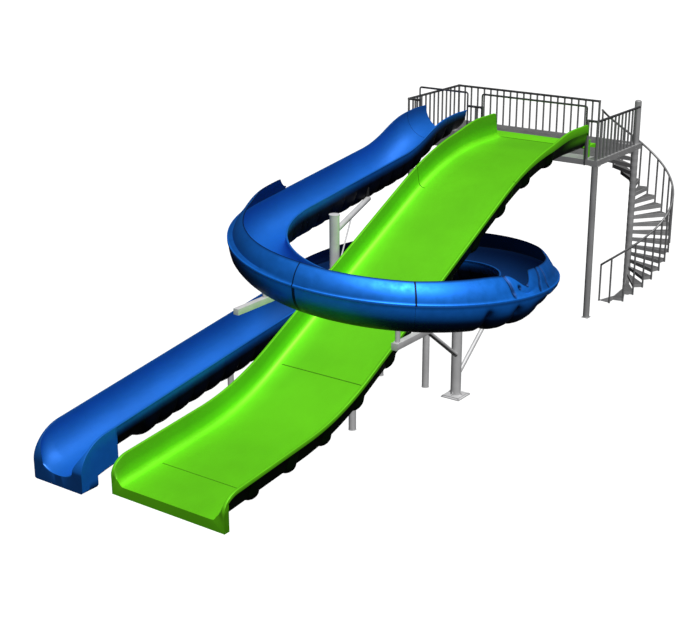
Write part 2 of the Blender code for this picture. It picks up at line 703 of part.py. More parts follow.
def build_railings():
    left_x = DECK_X[0] + RAIL_INSET
    right_x = DECK_X[1] - RAIL_INSET - 0.02
    front_y = DECK_Y[0] + RAIL_INSET
    rear_y = DECK_Y[1] - RAIL_INSET
    clear = RAIL_RADIUS + SEAT_GAP
    rail_panel("rail_left", (left_x, front_y - 0.01), (left_x, rear_y - clear),
               [(left_x, front_y)])
    rail_panel("rail_rear", (left_x - 0.01, rear_y), (REAR_RAIL_END_X + 0.01, rear_y),
               [(left_x, rear_y), (REAR_RAIL_END_X, rear_y)])
    side = rail_panel("rail_right", (right_x, front_y - 0.01), (right_x, STAIR_CENTRE.y), [(right_x, front_y)])
    reach = Vector((0, 0, 6))
    column = rod(STAIR_CENTRE + Vector((0, 0, 4)), STAIR_CENTRE + reach,
                 STAIR_COLUMN_RADIUS + SEAT_GAP, COLUMN_SIDES)
    combine(side, solid("rail_column_cut", [column], materials["dark_steel"], tools), "DIFFERENCE")
    short = {
        "rail_front_left": (left_x + clear, BLUE_HEADER_X[0]),
        "rail_front_middle": (BLUE_HEADER_X[1], GREEN_HEADER_X[0]),
        "rail_front_right": (GREEN_HEADER_X[1], right_x - clear),
    }
    for name, (start_x, end_x) in short.items():
        post_x = start_x + 0.03 if name == "rail_front_right" else end_x - 0.03
        rail_panel(name, (start_x, front_y), (end_x, front_y), [(post_x, front_y)])
    build_header("header_blue", BLUE_HEADER_X)
    build_header("header_green", GREEN_HEADER_X)


def build_header(name, span):
    """A goal-shaped bar over a slide's start, its two posts fixed to the front of the deck beam."""
    steel = materials["dark_steel"]
    radius = HEADER_RADIUS
    foot = DECK_TOP - DECK_DEPTH
    bar = HEADER_TOP - radius
    posts = [rod((x, HEADER_Y, foot), (x, HEADER_Y, bar + 0.004), radius, 8, math.pi / 8) for x in span]
    beam = rod((span[0] - 1.1 * radius, HEADER_Y, bar), (span[1] + 1.1 * radius, HEADER_Y, bar), radius, 8)
    welded(name, steel, posts, [beam])


# Spiral stair

def stair_point(angle, radius, height):
    turn = math.radians(angle)
    return STAIR_CENTRE + Vector((radius * math.cos(turn), radius * math.sin(turn), height))


def tread_edge(number):
    """Angle of the far edge of a tread; the treads climb anticlockwise."""
    return LAST_EDGE - TREAD_TURN * (RISERS - 1 - number)


def tread_shape(number):
    """A wedge-shaped tread between the column and the outer radius."""
    def build(bm):
        last = tread_edge(number)
        first = last - TREAD_TURN - TREAD_OVERLAP
        baluster = first + TREAD_OVERLAP / 2
        inner_radius = (STAIR_COLUMN_RADIUS + SEAT_GAP) / math.cos(math.radians((last - first) / 4))
        outline = [(angle, inner_radius) for angle in (last, (first + last) / 2, first)]
        outline += [(first, STAIR_RADIUS), (baluster, STAIR_RADIUS), ((baluster + last) / 2, STAIR_RADIUS)]
        outline += [(last - TREAD_OVERLAP / 2, STAIR_RADIUS), (last, STAIR_RADIUS)]
        top = RISE * number
        low_ring = [bm.verts.new(stair_point(angle, radius, top - TREAD_DEPTH)) for angle, radius in outline]
        face = bm.faces.new(low_ring)
        grown = bmesh.ops.extrude_face_region(bm, geom=[face])
        lifted = [item for item in grown["geom"] if isinstance(item, bmesh.types.BMVert)]
        bmesh.ops.translate(bm, verts=lifted, vec=(0, 0, TREAD_DEPTH))
    return build


def build_stair():
    steel = materials["dark_steel"]
    top = Vector((0, 0, STAIR_COLUMN_TOP - 0.03))
    shaft = rod(STAIR_CENTRE, STAIR_CENTRE + top, STAIR_COLUMN_RADIUS, COLUMN_SIDES)
    cap = rod(STAIR_CENTRE + top - Vector((0, 0, 0.01)), STAIR_CENTRE + Vector((0, 0, STAIR_COLUMN_TOP)),
              STAIR_COLUMN_RADIUS * 0.8, COLUMN_SIDES)
    corner = Vector((0.16, 0.16, 0))
    plate = block(STAIR_CENTRE - corner, STAIR_CENTRE + corner + Vector((0, 0, 0.012)))
    welded("stair_column", steel, [shaft], [cap, plate])
    for number in range(1, RISERS):
        solid(f"tread_{number:02d}", [tread_shape(number)], steel, parts)
    build_stair_rail(steel)


def handrail_height(angle):
    return HANDRAIL_FOOT_TOP + HANDRAIL_CLIMB * (angle - HANDRAIL_START)


def build_stair_rail(steel):
    """The helical handrail with two newels on the ground and one baluster bolted beside each tread."""
    bar_radius = BALUSTER_RADIUS
    flat = bar_radius * math.cos(math.pi / 8)
    radius = STAIR_RADIUS + SEAT_GAP + flat
    curve = bpy.data.curves.new("stair_rail_curve", "CURVE")
    curve.dimensions = "3D"
    curve.bevel_depth = RAIL_RADIUS * 0.9
    curve.bevel_resolution = 2
    curve.use_fill_caps = True
    curve.render_resolution_u = 0
    angles = spaced(HANDRAIL_START - 1, HANDRAIL_END, 8)
    spline = curve.splines.new("POLY")
    spline.points.add(len(angles) - 1)
    for point, angle in zip(spline.points, angles):
        point.co = (*stair_point(angle, radius, handrail_height(angle)), 1.0)
    guide = bpy.data.objects.new("stair_rail_guide", curve)
    tools.objects.link(guide)
    bpy.context.view_layer.update()
    evaluated = guide.evaluated_get(bpy.context.evaluated_depsgraph_get())
    mesh = bpy.data.meshes.new_from_object(evaluated)
    bm = bmesh.new()
    bm.from_mesh(mesh)
    bmesh.ops.remove_doubles(bm, verts=bm.verts, dist=0.00005)
    bpy.data.objects.remove(guide)
    rail = add_mesh_object("stair_rail", bm, steel, parts)
    bars = []
    places = [(HANDRAIL_START, 0.0), (SECOND_NEWEL, 0.0)]
    places += [(tread_edge(n) - TREAD_OVERLAP / 2, RISE * n - TREAD_DEPTH) for n in range(1, RISERS - 1)]
    for angle, foot in places:
        bars.append(rod(stair_point(angle, radius, foot), stair_point(angle, radius, handrail_height(angle)),
                        bar_radius, 8, math.radians(angle) + math.pi / 8))
    combine(rail, solid("stair_rail_bars", bars, steel, tools), "UNION")


# Supports

def upright(foot, height, radius, sides=COLUMN_SIDES):
    return rod(foot, foot + Vector((0, 0, height)), radius, sides)


def plate_at(foot, half, thickness):
    return block(foot - Vector((half, half, 0)), foot + Vector((half, half, thickness)))


def base_plates(centre, radius):
    """A two-layer base plate with two crossed gusset plates."""
    half_x, half_y = BASE_SIZE[0] / 2, BASE_SIZE[1] / 2
    lower = block((centre.x - half_x, centre.y - half_y, 0), (centre.x + half_x, centre.y + half_y, 0.025))
    upper = block((centre.x - half_x * 0.82, centre.y - half_y * 0.82, 0.02),
                  (centre.x + half_x * 0.82, centre.y + half_y * 0.82, 0.05))
    reach = radius + GUSSET_REACH
    gussets = [block((centre.x - reach, centre.y - 0.008, 0.04), (centre.x + reach, centre.y + 0.008, GUSSET_TOP)),
               block((centre.x - 0.008, centre.y - reach, 0.04), (centre.x + 0.008, centre.y + reach, GUSSET_TOP))]
    return [[lower], [upper]] + [[gusset] for gusset in gussets]


def trim(item, cutters):
    for cutter in cutters:
        combine(item, cutter, "DIFFERENCE")


def column_cutter(name, centre, radius, top):
    """A column made larger by the seat gap, to cut what is welded against it."""
    shape = upright(centre - Vector((0, 0, 0.1)), top + 0.1, radius + SEAT_GAP)
    return solid(name, [shape], materials["grey_steel"], tools)


def build_supports():
    steel = materials["grey_steel"]
    upper = pipe_core("loop_core_upper", [loop_station(angle) for angle in loop_angles(180, 330)])
    lower = pipe_core("loop_core_lower", [loop_station(angle) for angle in loop_angles(390, 540)])
    dip = ENTRY_PROFILE[1][0]
    entry = pipe_core("entry_core", [entry_station(y) for y in (LOOP_CENTRE.y, dip - ENTRY_BLENDS[0])])
    exit_places = (EXIT_JOINTS_Y[0], EXIT_JOINTS_Y[1], LOOP_CENTRE.y)
    leaving = pipe_core("exit_core", [exit_station(y) for y in exit_places])
    build_main_column(steel, upper, lower)
    build_loop_column(steel, upper, entry)
    build_slide_trestles(steel, slide_core())
    foot = Vector((EXIT_X, RUNOUT_POST_Y, 0))
    height = exit_station(RUNOUT_POST_Y)[0].z + 0.3
    post = welded("runout_post", steel, [upright(foot, height, RUNOUT_POST_RADIUS, 12)],
                  [plate_at(foot, 0.12, 0.015)])
    trim(post, [leaving])


def build_main_column(steel, upper, lower):
    """The column beside the wide slide, with a strutted arm under each turn of the loop."""
    shaft = upright(MAIN_COLUMN, MAIN_COLUMN_TOP, MAIN_COLUMN_RADIUS)
    cap = plate_at(MAIN_COLUMN + Vector((0, 0, MAIN_COLUMN_TOP - 0.01)), MAIN_CAP_HALF, 0.02)
    welded("main_column", steel, [shaft], [cap], *base_plates(MAIN_COLUMN, MAIN_COLUMN_RADIUS))
    cut = column_cutter("main_column_cut", MAIN_COLUMN, MAIN_COLUMN_RADIUS, MAIN_COLUMN_TOP)

    side_x = MAIN_COLUMN.x + FRONT_ARM_OFFSET
    low = FRONT_ARM_TOP - 2 * ARM_HALF
    arm = block((side_x - ARM_HALF, FRONT_ARM_TIP_Y, low), (side_x + ARM_HALF, MAIN_COLUMN.y, FRONT_ARM_TOP))
    strut = rod(MAIN_COLUMN + Vector((0, 0, 1.02)), (side_x, MAIN_COLUMN.y - 1.55, low + 0.05), 0.055, 10)
    stub = upright(Vector((side_x, FRONT_ARM_TIP_Y + STUB_INSET, low + 0.1)), 1.2, STUB_RADIUS, 10)
    trim(welded("main_arm_front", steel, [arm], [strut], [stub]), [cut, upper])

    low = REAR_ARM_TOP - 2 * ARM_HALF
    arm = block((MAIN_COLUMN.x - ARM_HALF, MAIN_COLUMN.y, low), (MAIN_COLUMN.x + ARM_HALF, REAR_ARM_TIP_Y, REAR_ARM_TOP))
    strut = rod(MAIN_COLUMN + Vector((0, 0, 0.45)), (MAIN_COLUMN.x, MAIN_COLUMN.y + 1.6, low + 0.06), 0.04, 10)
    stub = upright(Vector((MAIN_COLUMN.x, REAR_ARM_TIP_Y - STUB_INSET, low + 0.1)), 1.0, STUB_RADIUS, 10)
    trim(welded("main_arm_rear", steel, [arm], [strut], [stub]), [cut, lower])


def build_loop_column(steel, upper, entry):
    """The column inside the loop, with an arm under its front and a brace under the straight above."""
    cap = rod(LOOP_COLUMN + Vector((0, 0, LOOP_COLUMN_TOP - 0.03)), LOOP_COLUMN + Vector((0, 0, LOOP_COLUMN_TOP)),
              LOOP_COLUMN_RADIUS + 0.012, COLUMN_SIDES)
    shaft = upright(LOOP_COLUMN, LOOP_COLUMN_TOP - 0.02, LOOP_COLUMN_RADIUS)
    welded("loop_column", steel, [shaft], [cap, plate_at(LOOP_COLUMN, LOOP_COLUMN_RADIUS + 0.025, 0.02)])
    cut = column_cutter("loop_column_cut", LOOP_COLUMN, LOOP_COLUMN_RADIUS, LOOP_COLUMN_TOP - 0.2)

    corner = Vector((ARM_HALF, 0, ARM_HALF))
    tip = Vector((LOOP_COLUMN.x, LOOP_ARM_TIP_Y, LOOP_ARM_Z))
    arm = block(tip - corner, Vector((LOOP_COLUMN.x, LOOP_COLUMN.y, LOOP_ARM_Z)) + corner)
    stub = upright(Vector((LOOP_COLUMN.x, LOOP_STUB_Y, LOOP_ARM_Z)), 0.7, STUB_RADIUS, 10)
    trim(welded("loop_arm_front", steel, [arm], [stub]), [cut, upper])

    root = LOOP_COLUMN + Vector((0, 0, BRACE_ROOT_Z))
    bar = rod(root, BRACE_TIP, BRACE_RADIUS, 10)
    stub = upright(BRACE_TIP - Vector((0, 0.05, 0.02)), 0.5, 0.05, 10)
    origin, outward, rim = loop_station(STAY_FOOT_ANGLE)
    flange = (PIPE_RADIUS + PIPE_FLANGE_HALF) / 2
    lug_foot = origin - outward * flange + Vector((0, 0, rim - FLANGE_DEPTH / 2))
    stay = rod(root.lerp(BRACE_TIP, 0.5), lug_foot + Vector((0, 0, 0.05)), STAY_RADIUS, 6)
    lug = upright(lug_foot, 0.08, 1.5 * STAY_RADIUS, 6)
    landing = flange_core("stay_landing", [loop_station(angle) for angle in loop_angles(520, 540)])
    trim(welded("loop_brace", steel, [bar], [stub], [stay], [lug]), [cut, entry, landing])


def build_slide_trestles(steel, slide):
    """Trestles under the wide slide: two posts and a cross beam each."""
    for name, y in zip(("slide_trestle_high", "slide_trestle_low"), SLIDE_POST_Y):
        centre = slide_centre(y)
        floor = profile_height(y, SLIDE_PROFILE, SLIDE_BLENDS)
        beam_top = floor - SLIDE_BEAM_DROP
        feet = [Vector((centre + side * SLIDE_POST_SPREAD, y, 0)) for side in (-1, 1)]
        posts = [upright(foot, floor + 0.1, SLIDE_POST_RADIUS) for foot in feet]
        beam = block((feet[0].x, y - 0.05, beam_top - 0.1), (feet[1].x, y + 0.05, beam_top))
        trim(welded(name, steel, posts, [beam]), [slide])


clear_scene()
parts = new_collection(PARTS_COLLECTION)
tools = new_collection(TOOLS_COLLECTION)
materials = {name: make_material(name) for name in FINISHES}
build_deck()
build_saddle()
build_deck_posts()
build_railings()
build_stair()
build_slide()
build_half_pipe()
build_splash_walls()
build_supports()
for placed in list(parts.objects) + list(tools.objects):
    placed.location = ORIGIN_SHIFT
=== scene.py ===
import math

import bmesh
import bpy
from mathutils import Matrix, Vector


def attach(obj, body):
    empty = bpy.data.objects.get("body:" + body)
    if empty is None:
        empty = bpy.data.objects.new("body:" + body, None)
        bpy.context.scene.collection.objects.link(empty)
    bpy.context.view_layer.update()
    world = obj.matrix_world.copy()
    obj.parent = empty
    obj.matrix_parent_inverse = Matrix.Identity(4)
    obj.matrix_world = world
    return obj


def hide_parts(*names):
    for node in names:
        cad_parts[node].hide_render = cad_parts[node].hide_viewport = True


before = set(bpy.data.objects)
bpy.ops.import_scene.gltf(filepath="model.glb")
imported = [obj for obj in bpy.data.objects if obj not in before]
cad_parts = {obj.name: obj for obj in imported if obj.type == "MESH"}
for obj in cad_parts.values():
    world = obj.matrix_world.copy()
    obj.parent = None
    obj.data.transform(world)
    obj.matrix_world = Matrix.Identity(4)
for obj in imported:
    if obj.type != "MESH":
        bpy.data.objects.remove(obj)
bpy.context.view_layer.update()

BODY = "root"
SHIFT = Vector((0.0725, 0.0934, 0.0))
UP = Vector((0, 0, 1))
# The room between neighbouring pieces
GAP = 0.0003

# Platform, railings and stair, as in the solids
DECK_X = (-4.30, 1.82)
DECK_Y = (5.895, 8.80)
DECK_TOP = 4.50
DECK_UNDERSIDE = DECK_TOP - 0.155
DECK_BORDER = 0.07
DECK_FLOOR = 4.45
PLANKS = 10
PLANK_GAP = 0.004
POST_RADIUS = 0.09
POST_INSET = 0.10
DECK_POSTS = {
    "deck_post_front_left": (DECK_X[0] + POST_INSET, DECK_Y[0] + POST_INSET),
    "deck_post_front_right": (DECK_X[1] - POST_INSET, DECK_Y[0] + POST_INSET),
    "deck_post_rear_left": (DECK_X[0] + POST_INSET, DECK_Y[1] - POST_INSET),
}
RAIL_TOP = 5.59
RAIL_RADIUS = 0.034
BALUSTER_RADIUS = 0.027
BALUSTER_PITCH = 0.23
RAIL_INSET = 0.035
HEADER_TOP = 5.97
HEADER_RADIUS = 0.0235
HEADER_BEND = 0.05
HEADER_Y = 5.8730
BLUE_HEADER_X = (-3.85, -2.25)
GREEN_HEADER_X = (-1.778, 1.457)
REAR_RAIL_END_X = 0.46
RISERS = 21
RISE = DECK_TOP / RISERS
STAIR_CENTRE = Vector((1.69, 8.67, 0.0))
STAIR_COLUMN_RADIUS = 0.095
STAIR_COLUMN_TOP = 5.74
STAIR_RADIUS = 1.132
TREAD_TURN = 13.4
TREAD_OVERLAP = 2.0
TREAD_DEPTH = 0.11
TREAD_PLATE = 0.006
LAST_EDGE = 186.0
HANDRAIL_START = -106.0
SECOND_NEWEL = -89.0
HANDRAIL_END = 173.5
HANDRAIL_FOOT_TOP = 1.09
HANDRAIL_CLIMB = 0.0151

# Wide slide, as in the solids
SHELL = 0.02
SLIDE_START_Y = -9.645
SLIDE_END_Y = 5.844
SLIDE_CENTRE_X = (0.23, 0.095)
SLIDE_EDGE_HALF = (1.51, 1.455)
SLIDE_PROFILE = ((-9.645, 0.23), (-5.74, 0.563), (3.02, 4.82), (5.844, 4.82))
SLIDE_BLENDS = (1.15, 1.8)
SLIDE_FLOOR_HALF = 1.17
SLIDE_FILLET = (0.175, 0.136)
RIM_HEIGHTS = (0.52, 0.65)
RIM_RISE_Y = (3.6, 5.1)
RIM_FLANGE = 0.07
RIM_LIP = 0.09
RIM_FRONT = 0.20
RIM_FRONT_LENGTH = 0.445
RIM_END_ROUND = 0.08
RIM_BAND_TOP = 0.13
SLIDE_FOOT_STEPS = (0.0, 0.006, 0.03, 0.034, 0.042, 0.055, 0.075, 0.11, 0.15)
SLIDE_NOSE_STEPS = (0.153, 0.2, 0.25, 0.3, 0.36, 0.42)
SLIDE_RIB_DEPTH = 0.10
SLIDE_RIB_HALF = 0.15
SLIDE_RIBS_Y = [-8.55 + 1.23 * index for index in range(11)]
RIB_SHARES = (0.0, 0.3, 0.6, 0.85, 0.97, 1.0, 1.15)
SLIDE_JOINTS_Y = (-8.47, -4.35, 1.75, SLIDE_END_Y)
SLIDE_STEP = 0.10
HALF_POINTS = 16
SILL_BACK_Y = 6.595
SILL_X = (GREEN_HEADER_X[0] + 0.03, GREEN_HEADER_X[1] - 0.03)
SILL_JOINT = 0.06
CHEEK_RISE = 0.16
CHEEK_LENGTH = 0.36

# Half-pipe, as in the solids
PIPE_RADIUS = 0.66
PIPE_SKIN = PIPE_RADIUS + SHELL
PIPE_RIM = 0.75
PIPE_RIM_DECK = 0.65
PIPE_RIM_DROP_Y = (3.9, 5.2)
PIPE_FLANGE_HALF = 0.705
FLANGE_DEPTH = 0.03
LIP_ROUND = 0.008
ARC_STEPS = 20
PIPE_POINTS = ARC_STEPS + 13
ENTRY_X = -2.95
EXIT_X = -2.43
ENTRY_PROFILE = ((-1.61, 3.446), (3.15, 4.05), (4.85, 4.80), (5.844, 4.80))
ENTRY_BLENDS = (0.5, 0.6)
ENTRY_JOINT_Y = 4.85
LOOP_CENTRE = Vector((0.25, -1.61, 0.0))
LOOP_RADIUS = 3.2
LOOP_BOTTOMS = (3.446, 1.394)
LOOP_SLOPES = (-2.41, -2.55)
LOOP_JOINTS = (180, 270, 360, 450, 540)
OUTLET_FRONT_Y = -10.042
OUTLET_BOTTOM = 0.256
EXIT_SLOPE = 0.135
OUTLET_RIM = 0.16
OUTLET_RIM_LENGTH = 0.75
OUTLET_FOOT_STEPS = (0.0, 0.004, 0.015, 0.03, 0.05, 0.08, 0.12, 0.17, 0.23, 0.30, 0.38, 0.462)
OUTLET_BOX_LENGTH = 1.07
OUTLET_BOX_BASES = (0.22, 0.28, 0.33)
# Painted shade on the outlet's front face
OUTLET_FACE_SHADE = 0.55
EXIT_JOINTS_Y = (-8.6, -5.1, LOOP_CENTRE.y)
PIPE_STEP = 0.045
LOOP_STEP = 0.75
SCALLOP_PITCH = 0.54
SCALLOP_DEPTH = 0.125
BAND_HALF = 0.016
BAND_CORNERS = ((-1, 0.675), (-1, 0.715), (1, 0.715), (1, 0.675))
BAND_BOLTS = 0.699
LUMP_CUSPS = (336.5, 348.7, 369.0, 384.0, 398.0)
LUMP_DEPTH = 0.13
EAST_CUT = 0.15

# Splash walls: angles round the loop, and angles of the section above its hub
SPLASH_TOP_ANGLES = ((180, 66), (225, 57), (310, 55), (348, 64), (363, 64), (390, 55), (540, 55))
SPLASH_START_Y = -0.78
NOTCH_ANGLES = (348, 354.5, 363)
NOTCH_SHARE = 0.35
SPLASH_END_ANGLES = (528, 539)
FINE_ANGLES = (340, 378)
WALL_STEPS = 14
WALL_DRAW = 0.055
WEST_LEDGE = 0.085
CREASE_HALF = 0.044
DIMPLE_HALF = 0.046
CREASES = (((346.5, 62), (347.0, 14)), ((369.3, 66), (361.6, 12)), ((372.5, 62), (368.2, 12)))
DIMPLES = ((351.0, 30), (355.5, 32))
CREASE_DEPTH = 0.045
# Painted shade in the creases and dimples
CREASE_SHADE = 0.84

# Angles round the loop over which a form or a painted shade sets in or fades out
HUMPS_OUT = (205, 236)
HUMPS_IN = (398, 402)
LIP_OUT = (250, 292)
LIP_IN = (335, 358)
DARK_LOWERED = (232, 285)
FRONT_GLOOM_IN = (215, 262)
FRONT_GLOOM_OUT = (262, 345)
NORTH_GLOOM_IN = (345, 385)
NORTH_GLOOM_OUT = (500, 540)
EAST_CUT_IN = (350, 374)
EAST_CUT_OUT = (396, 410)
WALL_DRAW_IN = (336, 352)
WALL_DRAW_OUT = (396, 408)
LEDGE_IN = (187, 203)
LEDGE_OUT = (228, 275)
WALL_LIT = (215, 250)
WEST_SKIN_OUT = (225, 268)
FRONT_SKIN_OUT = (288, 312)
EAST_SKIN_IN = (352, 368)
WIDENING = (450, 540)

# Joints that show as a strip of sealant
SEAM = 0.011
SEAM_TURN = math.degrees(3 * SEAM / LOOP_RADIUS)
FRONT_SEAM = 270
MIDDLE_SEAM = 311.0
FLOOR_STEPS = range(HALF_POINTS - 3, HALF_POINTS + 2)
SIDE_STEPS = [step for step in range(2 * HALF_POINTS - 1) if step not in FLOOR_STEPS]
ALL_STEPS = range(100)

# Painted shade on the laminate, from its own colour at 0 to dark at 1
# The wide slide's walls and floor are painted darker as shaded, and its fillets are left bright as a painted
# highlight
RIDE_SHADES = [0.2] * 4 + [0.35, 0.5, 0.5, 0.25, 0.05, 0.0, 0.0, 0.0, 0.0, 0.14, 0.22, 0.22]
# Painted shade low on the half-pipe's outside and on the outward side of its ride surface
RUN_DARK = (0.0, 0.30)
INWARD_DARK = (-0.1, 0.30)
BANK_GLOOM = 0.5

# Supports, as in the solids
MAIN_COLUMN = Vector((1.72, -1.06, 0.0))
MAIN_COLUMN_TOP = 2.30
LOOP_COLUMN = Vector((-1.57, -1.48, 0.0))
LOOP_COLUMN_TOP = 4.10
COLUMN_RADIUS = 0.125
# Each arm's end and stub along Y, and the height of its middle
FRONT_ARM = (-3.95, -3.83, 2.155)
REAR_ARM = (1.44, 1.32, 1.695)
LOOP_ARM = (-5.25, -4.2, 2.65)
# Each corner of a gusset from the column's surface and above the ground
GUSSET = ((-0.004, 0.049), (0.07, 0.049), (0.07, 0.069), (-0.004, 0.15))
FRONT_ARM_X = MAIN_COLUMN.x + 0.13
ARM_HALF = 0.075
BRACE_TIP = Vector((-2.35, 1.10, 3.85))
BRACE_ROOT_Z = 3.65
STAY_FOOT_ANGLE = 530
STUB_RADIUS = 0.06
STUB_LEAN = 0.16
SLIDE_POST_RADIUS = 0.085
SLIDE_POST_Y = (-1.01, -4.14)
SLIDE_POST_SPREAD = 0.67
RUNOUT_POST_Y = -4.5

# Colours as red, green, blue
GREEN = (0.140, 0.62, 0.008)
# The dark green and the dark blue are painted shade, which the shade attribute mixes into the laminate
GREEN_PAINTED_SHADE = (0.0015, 0.009, 0.0008)
BLUE = (0.0075, 0.138, 0.575)
BLUE_PAINTED_SHADE = (0.0006, 0.0025, 0.012)
RUST = (0.11, 0.045, 0.02)
WHITE = (1.0, 1.0, 1.0, 1.0)


# Small sums

def ramp(value, low, high):
    return min(1.0, max(0.0, (value - low) / (high - low)))


def eased(value, low, high):
    share = ramp(value, low, high)
    return share * share * (3 - 2 * share)


def falling(value, low, high):
    return 1 - eased(value, low, high)


def rounded(value, low, high):
    """Height of a quarter circle that rises from low to high."""
    return math.sqrt(1 - (1 - ramp(value, low, high)) ** 2)


def blend(first, last, share):
    return first + (last - first) * share


def spaced(start, end, pitch):
    count = max(1, math.ceil(abs(end - start) / pitch))
    return [start + (end - start) * index / count for index in range(count + 1)]


def profile_height(y, profile, blends):
    """Height on a line of straight runs whose inner corners are eased by vertical curves."""
    slopes = [(b[1] - a[1]) / (b[0] - a[0]) for a, b in zip(profile, profile[1:])]
    height = profile[0][1] + slopes[0] * (y - profile[0][0])
    for index, reach in enumerate(blends):
        bend = profile[index + 1][0]
        change = slopes[index + 1] - slopes[index]
        height += change * max(0.0, y - bend)
        height += change * max(0.0, reach - abs(y - bend)) ** 2 / (4 * reach)
    return height


# Materials

def feed(node, inputs):
    """Links a node's sockets to other nodes' outputs, or sets them to numbers and colours."""
    for key, value in inputs.items():
        if isinstance(value, bpy.types.NodeSocket):
            node.id_data.links.new(value, node.inputs[key])
        else:
            node.inputs[key].default_value = value
    return node


def tinted(colour, factor):
    return (*(min(1.0, channel * factor) for channel in colour[:3]), 1.0)


class Nodes:
    """A short way to write a material's node tree."""

    def __init__(self, name):
        self.material = bpy.data.materials.new(name)
        self.material.use_nodes = True
        self.tree = self.material.node_tree
        self.shader = self.tree.nodes["Principled BSDF"]
        self.place = self.add("TexCoord", {}).outputs["Object"]

    def add(self, kind, inputs, **properties):
        node = self.tree.nodes.new("ShaderNode" + kind)
        for key, value in properties.items():
            setattr(node, key, value)
        return feed(node, inputs)

    def noise(self, scale, detail=3.0, roughness=0.5, stretch=None):
        place = self.place
        if stretch:
            place = self.add("Mapping", {"Scale": stretch, "Vector": place}).outputs["Vector"]
        inputs = {"Scale": scale, "Detail": detail, "Roughness": roughness, "Vector": place}
        return self.add("TexNoise", inputs).outputs["Fac"]

    def tones(self, value, colour, low, high, start=0.3):
        """A darker and a lighter tint of a colour along a value."""
        node = self.add("ValToRGB", {"Fac": value})
        for element, place, factor in zip(node.color_ramp.elements, (start, 1 - start), (low, high)):
            element.position = place
            element.color = tinted(colour, factor)
        return node.outputs["Color"]

    def spread(self, value, low, high, from_low=0.0, from_high=1.0):
        inputs = {"Value": value, "From Min": from_low, "From Max": from_high, "To Min": low, "To Max": high}
        return self.add("MapRange", inputs).outputs["Result"]

    def mix(self, share, first, second):
        return self.add("Mix", {0: share, 6: first, 7: second}, data_type="RGBA").outputs[2]

    def compute(self, operation, first, second=0.5):
        return self.add("Math", {0: first, 1: second}, operation=operation).outputs[0]

    def shade(self):
        return self.add("Attribute", {}, attribute_name="shade").outputs["Fac"]

    def bump(self, height, strength, distance, **normal):
        inputs = {"Strength": strength, "Distance": distance, "Height": height, **normal}
        return self.add("Bump", inputs).outputs["Normal"]

    def finish(self, colour, roughness, **others):
        feed(self.shader, {"Base Color": colour, "Roughness": roughness})
        feed(self.shader, {key.replace("_", " "): value for key, value in others.items()})
        return self.material


def gelcoat(name, colour, dark):
    """Polished laminate: slight cloudiness, faint runs and scuffs along the ride, a glossy clear layer on
    top; painted shade from the shade attribute darkens it.
    """
    nodes = Nodes(name)
    base = nodes.tones(nodes.noise(0.7, 4.0), colour, 0.93, 1.07)
    streaks = nodes.noise(9.0, 5.0, 0.6, (1.0, 0.07, 0.35))
    worn = nodes.mix(nodes.spread(streaks, 0.0, 0.10, 0.55, 0.80), base, tinted(colour, 1.3))
    # Painted shade: the shade attribute darkens the colour towards dark
    ride_with_painted_shade = nodes.mix(nodes.shade(), worn, dark)
    scuffs = nodes.noise(55.0, 3.0, 0.6, (1.0, 0.05, 0.2))
    roughness = nodes.spread(scuffs, 0.46, 0.54, 0.35, 0.75)
    waves = nodes.bump(nodes.noise(2.2, 1.0), 0.10, 0.01)
    skin = nodes.bump(nodes.noise(160.0, 2.0), 0.03, 0.001, Normal=waves)
    return nodes.finish(ride_with_painted_shade, roughness, Normal=skin, Metallic=0.5, Coat_Weight=0.05, Coat_Roughness=0.2)


def backing(name, colour, dark):
    """The outside of the laminate: its colour near the rim, painted shade further down, faint fibre print."""
    nodes = Nodes(name)
    cloud = nodes.noise(1.6, 4.0)
    lit, under = nodes.tones(cloud, colour, 0.90, 1.06), nodes.tones(cloud, dark, 0.75, 1.4)
    fibre = nodes.bump(nodes.noise(70.0, 4.0, 0.7), 0.10, 0.002)
    roughness = nodes.spread(nodes.noise(6.0, 3.0), 0.46, 0.58, 0.3, 0.7)
    # Painted shade: the shade attribute turns the lit tone into the dark one
    back_with_painted_shade = nodes.mix(nodes.shade(), lit, under)
    return nodes.finish(back_with_painted_shade, roughness, Normal=fibre, Metallic=0.6, Specular_IOR_Level=0.25)


def sealant(name, colour):
    nodes = Nodes(name)
    tone = nodes.tones(nodes.noise(40.0, 3.0), colour, 0.8, 1.2)
    return nodes.finish(tone, nodes.spread(nodes.noise(90.0), 0.45, 0.65), Specular_IOR_Level=0.1)


def painted_steel(name, colour, roughness=(0.34, 0.50), metallic=0.0, rust=0.12):
    """Painted pipe and bar: orange peel, dull patches, a little rust bleeding in small spots."""
    nodes = Nodes(name)
    base = nodes.tones(nodes.noise(2.4, 5.0), colour, 0.84, 1.14, 0.25)
    mask = nodes.spread(nodes.noise(26.0, 6.0, 0.7), 0.0, rust, 0.68, 0.80)
    patches = nodes.spread(nodes.noise(5.0, 4.0), *roughness, 0.3, 0.7)
    peel = nodes.bump(nodes.noise(220.0, 2.0), 0.06, 0.001)
    return nodes.finish(nodes.mix(mask, base, tinted(RUST, 1.0)), patches, Normal=peel, Metallic=metallic)


